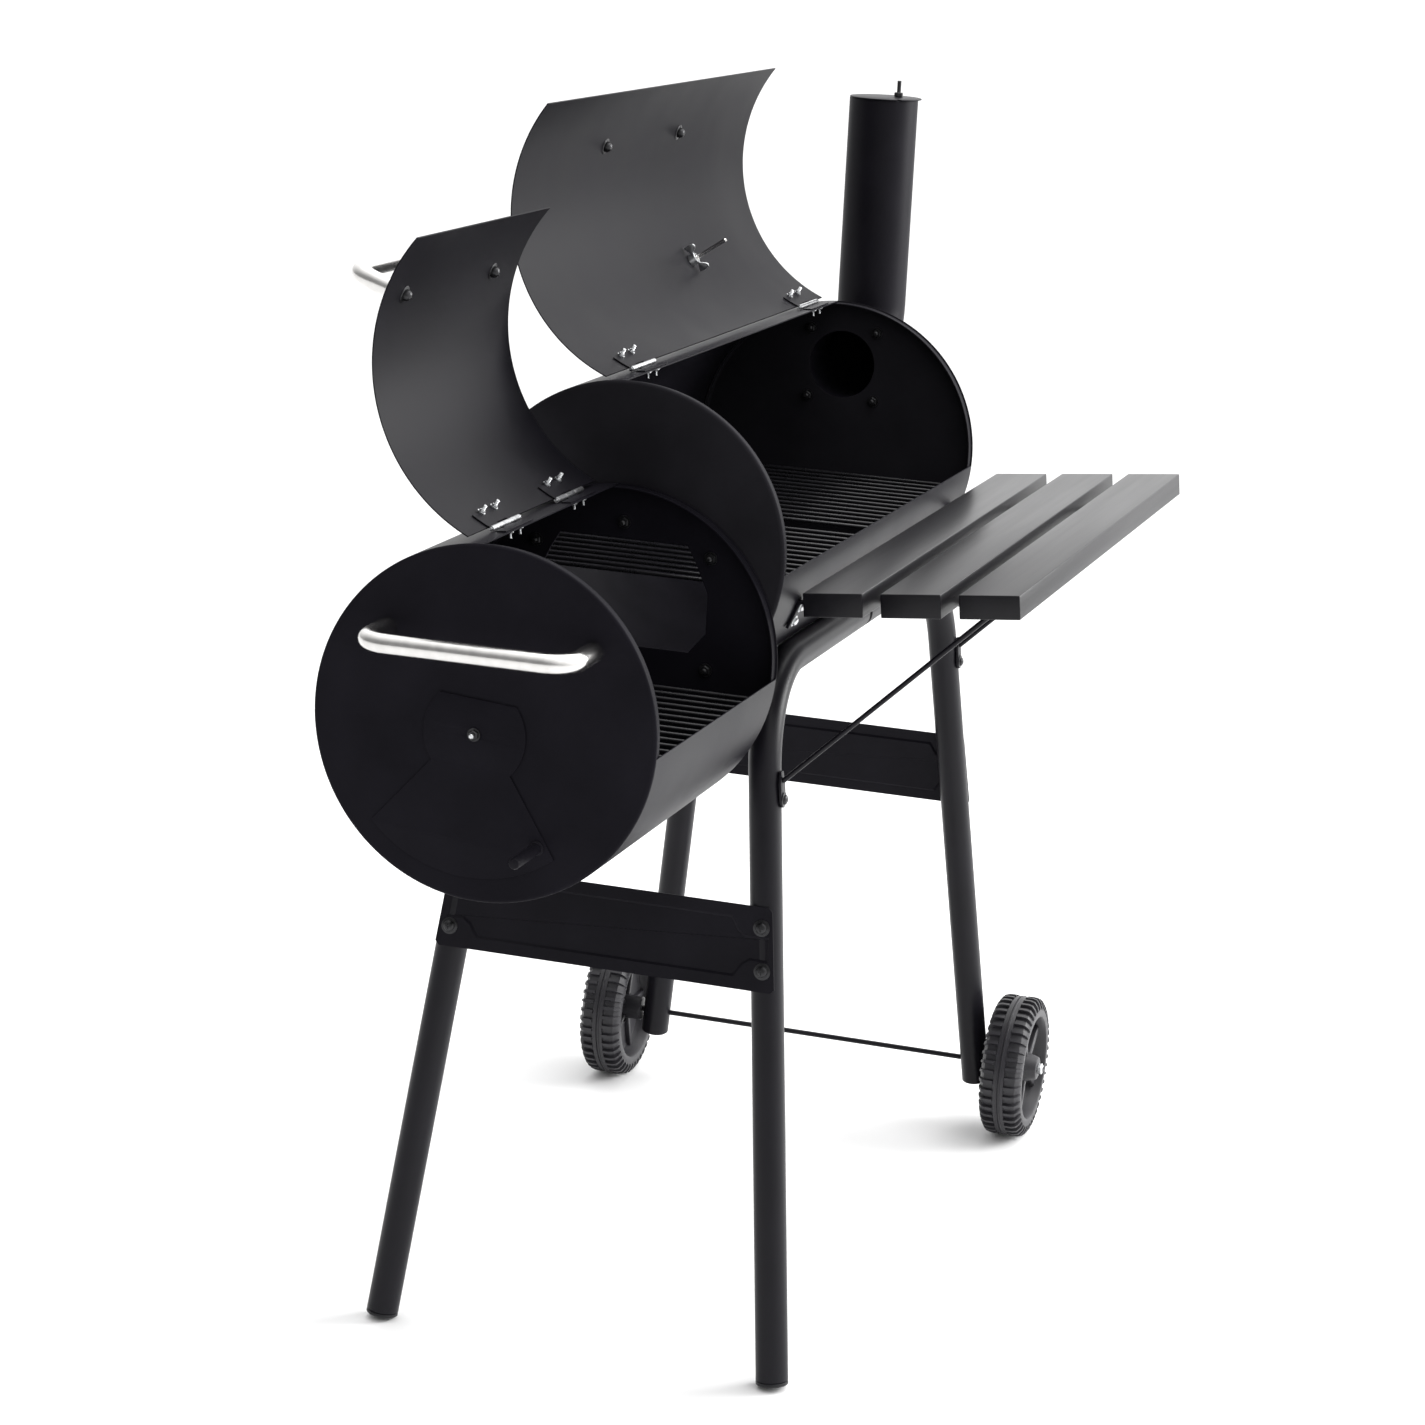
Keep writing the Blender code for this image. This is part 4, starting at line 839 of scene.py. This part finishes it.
def make_wheels():
    radius = (high("wheel_front").z - low("wheel_front").z) / 2
    outer = wheel_section(radius)
    inner = [(r, -z) for r, z in reversed(outer) if r > 0.0190]
    band = outer + inner + [(0.0190, -0.0056), (0.0145, -0.0080), (0.0140, -0.0290), (0.0120, -0.0305),
                            (0.0036, -0.0305)]
    for side, name in ((-1, "front"), (1, "back")):
        centre = middle("axle")
        centre.y = spot(0, side * WHEEL_Y, 0).y
        place = aim(centre, BACK * side)
        shapes = [turned(band[::-1], Matrix(), 96, ring=True)]
        for k in range(LUGS):
            for face in (-1, 1):
                turn = Matrix.Rotation(2 * pi * (k + 0.25 * face) / LUGS, 4, "Z")
                shapes.append(tread_lug(radius, turn, face))
        spokes = []
        for k in range(5):
            turn = Matrix.Rotation(2 * pi * k / 5 + 0.3, 4, "Z")
            spokes.append(bar((0.0480, 0.0085, 0.0110), turn @ Matrix.Translation((0.0365, 0, 0.0105)), 0.0018, 3))
            spokes.append(bar((0.0470, 0.0060, 0.0080), turn @ Matrix.Translation((0.0365, 0, -0.0075)), 0.0014, 2))
        piece(f"wheel_{name}_moulding", shapes + spokes, RUBBERY, f"wheel_{name}",
              [f"wheel_{name}"], place=place)
        seat = centre + BACK * side * (0.0288 + 2 * GAP)
        nut = [(0.0033, 0.0), (0.0066, 0.0), (0.0066, 0.0034), (0.0060, 0.0040), (0.0048, 0.0048), (0.0033, 0.0050)]
        piece(f"axle_lock_nut_{name}", turned(nut[::-1], aim(seat, BACK * side), 6, ring=True), ZINC,
              "grill_body", [f"axle_nut_{name}"])
    half = (high("axle").y - low("axle").y) / 2
    rod = [(0, half), (0.0024, half), (0.0030, half - 0.0008), (0.0030, -half + 0.0008), (0.0024, -half), (0, -half)]
    piece("axle_rod", turned(rod, aim(middle("axle"), BACK), 24), TUBE_PAINTED_SHADE, "grill_body",
          ["axle"])


# Shelf

SLOPE = 0.101
SLAT_Y = (-0.2098, -0.2849, -0.3600)
SLAT_THICKNESS = 0.023
BAR_SHEET = 0.003
STAY_TOP_Y = -0.3655


def shelf_normal():
    return Vector((0, SLOPE, 1)).normalized()


def under_shelf(y, depth=0.0):
    """A point depth below the slats' undersides, from the main axis."""
    top = Vector((0, y, -0.0229 + SLOPE * (-0.1808 - y)))
    return top - shelf_normal() * (SLAT_THICKNESS + depth)


def strip(points, thickness):
    """The outline of a bent flat strip, with rounded bends, from its centre line."""
    left, right = [], []
    for i, point in enumerate(points):
        before = (point - points[i - 1]).normalized() if i else None
        after = (points[i + 1] - point).normalized() if i < len(points) - 1 else None
        way = ((before or after) + (after or before)).normalized()
        normal = Vector((0, -way.z, way.y))
        left.append(point + normal * thickness / 2)
        right.append(point - normal * thickness / 2)
    return [(p.y, p.z) for p in left + right[::-1]]


def make_shelf():
    up = shelf_normal()
    tilt = Matrix.Rotation(-atan2(SLOPE, 1), 4, "X")
    slats = ("shelf_slat_inner", "shelf_slat_middle", "shelf_slat_front")
    for name, y in zip(slats, SLAT_Y):
        ends = low(name).x, high(name).x
        centre = spot(0, 0, 0) + under_shelf(y, -SLAT_THICKNESS / 2)
        centre.x = sum(ends) / 2
        piece(f"{name}_board", bar((ends[1] - ends[0], 0.058, SLAT_THICKNESS), Matrix.Translation(centre) @ tilt,
                                   0.0010, 3), WOOD, "grill_body", [name])
    along = Vector((0, sin(radians(TAB_ANGLE)), cos(radians(TAB_ANGLE))))
    tab = outward(TAB_ANGLE) * (RADIUS + GAP + BAR_SHEET / 2)
    front, back = under_shelf(-0.378, BAR_SHEET / 2 + GAP), under_shelf(-0.1808, BAR_SHEET / 2 + GAP)
    slope, rise = back - front, front - tab
    corner = tab + along * (rise.y * slope.z - rise.z * slope.y) / (along.y * slope.z - along.z * slope.y)
    line = rounded([front, corner, tab - along * 0.016], 0.004, 6)
    screws, bright = [], []
    for name in ("shelf_bar_left", "shelf_bar_right"):
        x = middle(name).x - AXIS.x
        piece(f"{name}_strap", plate([strip(line, BAR_SHEET)], 0.020, side_view(x), 0.0003), ENAMEL,
              "grill_body", [name])
        for y in SLAT_Y:
            screws.append(screw_head(spot(x, 0, 0) + under_shelf(y, BAR_SHEET + GAP), -up))
        screws.append(nut_end(spot(x, 0, 0) + outward(TAB_ANGLE) * (RADIUS - SHEET), -outward(TAB_ANGLE)))
        for shift in (0.007, -0.009):
            bright.append(screw_head(spot(x, 0, 0) + outward(TAB_ANGLE) * (RADIUS + GAP + BAR_SHEET) + along * shift,
                                     outward(TAB_ANGLE), 0.0042, 0.0034))
    for name, far in (("shelf_stay_left", False), ("shelf_stay_right", True)):
        flat = 0.0027
        foot = leg_point(STAY_Z, far, -1) - Vector((0, LEG + GAP + flat / 2, 0))
        head = spot(foot.x - AXIS.x, 0, 0) + under_shelf(STAY_TOP_Y, GAP + flat / 2)
        climb = climb_of(far, -1)
        lean = Matrix.Rotation(-atan2(climb.y, climb.z), 4, "X")
        ends = [foot + lean @ Vector((0, -0.001, 0.018)), head + Vector((0, 0.014, -0.0024))]
        rod = pipe(ends, 0.0025, 0.0, 20)
        tab_shape = [(0.007 * cos(a), 0.007 * sin(a) - 0.001) for a in [radians(180 + 15 * i) for i in range(13)]]
        tab_shape += [(0.007, 0.016), (0.0032, 0.028), (-0.0032, 0.028), (-0.007, 0.016)]
        foot_tab = plate([tab_shape], flat, Matrix.Translation(foot) @ lean @ Matrix.Rotation(pi / 2, 4, "X"), 0.0004)
        head_tab = plate([tab_shape], flat, Matrix.Translation(head) @ tilt, 0.0004)
        piece(f"{name}_rod", [rod, foot_tab, head_tab], TUBE_PAINTED_SHADE, "grill_body", [name])
        front_way = Vector((0, -1, 0))
        screws.append(screw_head(foot + front_way * flat / 2, front_way, 0.0050, 0.0030))
        screws.append(screw_head(head - up * flat / 2, -up))
    piece("shelf_screws", screws, BLACK_SCREW, "grill_body")
    piece("shelf_strap_bolts", bright, ZINC, "grill_body")


# Chimney

def make_chimney():
    x = middle("chimney_cap").x - AXIS.x
    top = high("chimney_pipe").z - AXIS.z
    radius = 0.039
    path = rounded([spot(MAIN_LENGTH + 2 * GAP, FLUE_Y, FLUE_Z), spot(x, FLUE_Y, FLUE_Z), spot(x, FLUE_Y, top)],
                   0.060, 22)
    piece("chimney_pipe_tube", pipe(path, radius, SHEET, 72), ENAMEL, "grill_body",
          ["chimney_pipe"])
    half = (high("chimney_flange").z - low("chimney_flange").z) / 2
    corner = 0.006
    square = []
    for sx, sy, start in ((1, 1, 0), (-1, 1, 90), (-1, -1, 180), (1, -1, 270)):
        square += [(sx * (half - corner) + corner * cos(radians(start + 15 * i)),
                    sy * (half - corner) + corner * sin(radians(start + 15 * i))) for i in range(7)]
    place = side_view(middle("chimney_flange").x - AXIS.x) @ Matrix.Translation((FLUE_Y, FLUE_Z, 0))
    piece("chimney_flange_plate", plate([square, circle(0, 0, radius + GAP, 72)], 0.002, place), ENAMEL,
          "grill_body", ["chimney_flange"])
    bolts = []
    for sy in (-1, 1):
        for sz in (-1, 1):
            at = (FLUE_Y + sy * 0.0385, FLUE_Z + sz * 0.0385)
            bolts.append(screw_head(spot(MAIN_LENGTH + GAP + 0.002, *at), RIGHT, 0.005))
            bolts.append(nut_end(spot(MAIN_LENGTH - SHEET, *at), -RIGHT))
    piece("chimney_flange_screws", bolts, BLACK_SCREW, "grill_body")

    stud = middle("chimney_cap_nut") - AXIS
    strap_low = low("chimney_cap_bracket").z - AXIS.z
    inner = radius - SHEET
    strap_half = (inner ** 2 - (abs(stud.y - FLUE_Y) + 0.006) ** 2) ** 0.5 - GAP
    strap = bar((2 * strap_half, 0.012, 0.0015), Matrix.Translation(spot(x, stud.y, strap_low + 0.003)), 0.0003)
    stud_top = high("chimney_cap_bracket").z - AXIS.z
    thread = [(0, stud_top), (0.0018, stud_top)]
    pitch = 0.0009
    for i in range(int((stud_top - strap_low) / pitch) - 2):
        z = stud_top - 0.0006 - i * pitch
        thread += [(0.0025, z), (0.0021, z - pitch / 2)]
    thread += [(0.0021, strap_low), (0, strap_low)]
    rod = turned(thread, Matrix.Translation(spot(stud.x, stud.y, 0)), 20)
    piece("chimney_cap_strap_and_stud", [strap, rod], BLACK_SCREW, "grill_body",
          ["chimney_cap_bracket"])
    nut = [(0.0028, 0.005), (0.0046, 0.005), (0.0052, 0.0044), (0.0052, 0.0006), (0.0046, 0.0), (0.0028, 0.0)]
    base = low("chimney_cap_nut")
    piece("chimney_cap_hex_nut", turned(nut, Matrix.Translation((middle("chimney_cap_nut").x,
                                                                 middle("chimney_cap_nut").y, base.z)), 6, ring=True),
          BLACK_SCREW, "grill_body", ["chimney_cap_nut"])
    cap = middle("chimney_cap")
    rim = (high("chimney_cap").x - low("chimney_cap").x) / 2
    hole = circle(middle("chimney_cap_nut").x - cap.x, middle("chimney_cap_nut").y - cap.y, 0.0031, 24)
    outline = [(rim * cos(radians(a)), rim * sin(radians(a))) for a in range(-138, 215, 4)]
    outline += [((rim - 0.005) * cos(radians(a)), (rim - 0.005) * sin(radians(a))) for a in (216, 219)]
    piece("chimney_cap_disc", plate([outline, hole], SHEET, Matrix.Translation(cap), 0.0004), ENAMEL,
          "chimney_cap", ["chimney_cap"])


# Grates

def make_grates():
    for node, bars in (("cooking_grate_left", 13), ("cooking_grate_right", 13), ("firebox_grate", 15)):
        start, end = low(node), high(node)
        rod = (end.z - start.z) / 2
        z = (start.z + end.z) / 2
        x0, x1, y0, y1 = start.x + rod, end.x - rod, start.y + rod, end.y - rod
        frame_path = rounded([(x0, (y0 + y1) / 2, z), (x0, y1, z), (x1, y1, z), (x1, y0, z), (x0, y0, z),
                              (x0, (y0 + y1) / 2 + 0.0005, z)], 0.008, 6)
        loops = rings(frame_path, [(i, rod, 0) for i in range(len(frame_path))], 14)
        hoop = bmesh.new()
        made = bridge(hoop, loops)
        hoop.faces.new(made[0])
        hoop.faces.new(made[-1])
        shapes = [closed(hoop)]
        for k in range(1, bars):
            x = x0 + (x1 - x0) * k / bars
            shapes.append(pipe([(x, y0 + 0.0005, z), (x, y1 - 0.0005, z)], rod * 0.95, 0.0, 14))
        piece(f"{node}_rods", shapes, GRATE, node, [node])


# Stage, light and camera

def make_stage():
    bm = bmesh.new()
    bmesh.ops.create_grid(bm, x_segments=1, y_segments=1, size=80)
    mesh = bpy.data.meshes.new("floor")
    bm.to_mesh(mesh)
    bm.free()
    floor = bpy.data.objects.new("floor", mesh)
    floor.location.z = -0.0005
    bpy.context.scene.collection.objects.link(floor)
    mesh.materials.append(material("pale_floor", (0.86, 0.86, 0.86), 0.9, grain=30, bump=0.02, spread=0.004))
    make_sky()
    target = Vector((0, 0, 0.65))
    for name, place, size, power in (("overhead", (0.6, -0.5, 3.2), 2.4, 45.0),
                                     ("shelf_side", (2.2, -3.0, 1.9), 2.0, 150.0)):
        light = bpy.data.lights.new(name, "AREA")
        light.shape = "SQUARE"
        light.size = size
        light.energy = power
        lamp = bpy.data.objects.new(name, light)
        lamp.location = place
        lamp.rotation_euler = (target - Vector(place)).to_track_quat("-Z", "Y").to_euler()
        bpy.context.scene.collection.objects.link(lamp)
    bpy.context.scene.view_settings.view_transform = "Standard"


def make_sky():
    """White studio walls, darker beyond the fire box's end, so that the end caps stay black."""
    world = bpy.data.worlds.new("studio")
    world.use_nodes = True
    nodes, links = world.node_tree.nodes, world.node_tree.links
    way = nodes.new("ShaderNodeTexCoord")
    toward = nodes.new("ShaderNodeVectorMath")
    toward.operation = "DOT_PRODUCT"
    toward.inputs[1].default_value = Vector((0.62, -0.42, 0.66)).normalized()
    links.new(way.outputs["Generated"], toward.inputs[0])
    strength = nodes.new("ShaderNodeMapRange")
    strength.interpolation_type = "SMOOTHSTEP"
    strength.inputs["From Min"].default_value = -0.45
    strength.inputs["From Max"].default_value = 0.75
    strength.inputs["To Min"].default_value = 0.30
    strength.inputs["To Max"].default_value = 1.75
    links.new(toward.outputs["Value"], strength.inputs["Value"])
    links.new(strength.outputs["Result"], nodes["Background"].inputs["Strength"])
    nodes["Background"].inputs["Color"].default_value = (1, 1, 1, 1)
    bpy.context.scene.world = world


def make_camera():
    """Seen from beyond the fire box's end, a little to the shelf side and above."""
    yaw, pitch, roll, unit = 0.3042, 0.2369, 0.0527, 0.160
    away = Vector((-20.394, -7.0105, 4.2253)) * unit
    forward = Vector((cos(pitch) * cos(yaw), cos(pitch) * sin(yaw), -sin(pitch)))
    across = Vector((sin(yaw), -cos(yaw), 0))
    up = across.cross(forward)
    x = across * cos(roll) + up * sin(roll)
    y = up * cos(roll) - across * sin(roll)
    data = bpy.data.cameras.new("camera")
    data.lens = 93.155
    data.sensor_width = 36.0
    data.clip_end = 500
    camera = bpy.data.objects.new("camera", data)
    camera.matrix_world = Matrix.Translation(AXIS + away) @ Matrix((x, y, -forward)).transposed().to_4x4()
    bpy.context.scene.collection.objects.link(camera)
    bpy.context.scene.camera = camera


make_camera()
make_barrels()
make_hinges()
make_lids()
make_thermometer()
make_end_fittings()
make_legs()
make_panels()
make_wheels()
make_shelf()
make_chimney()
make_grates()
make_stage()
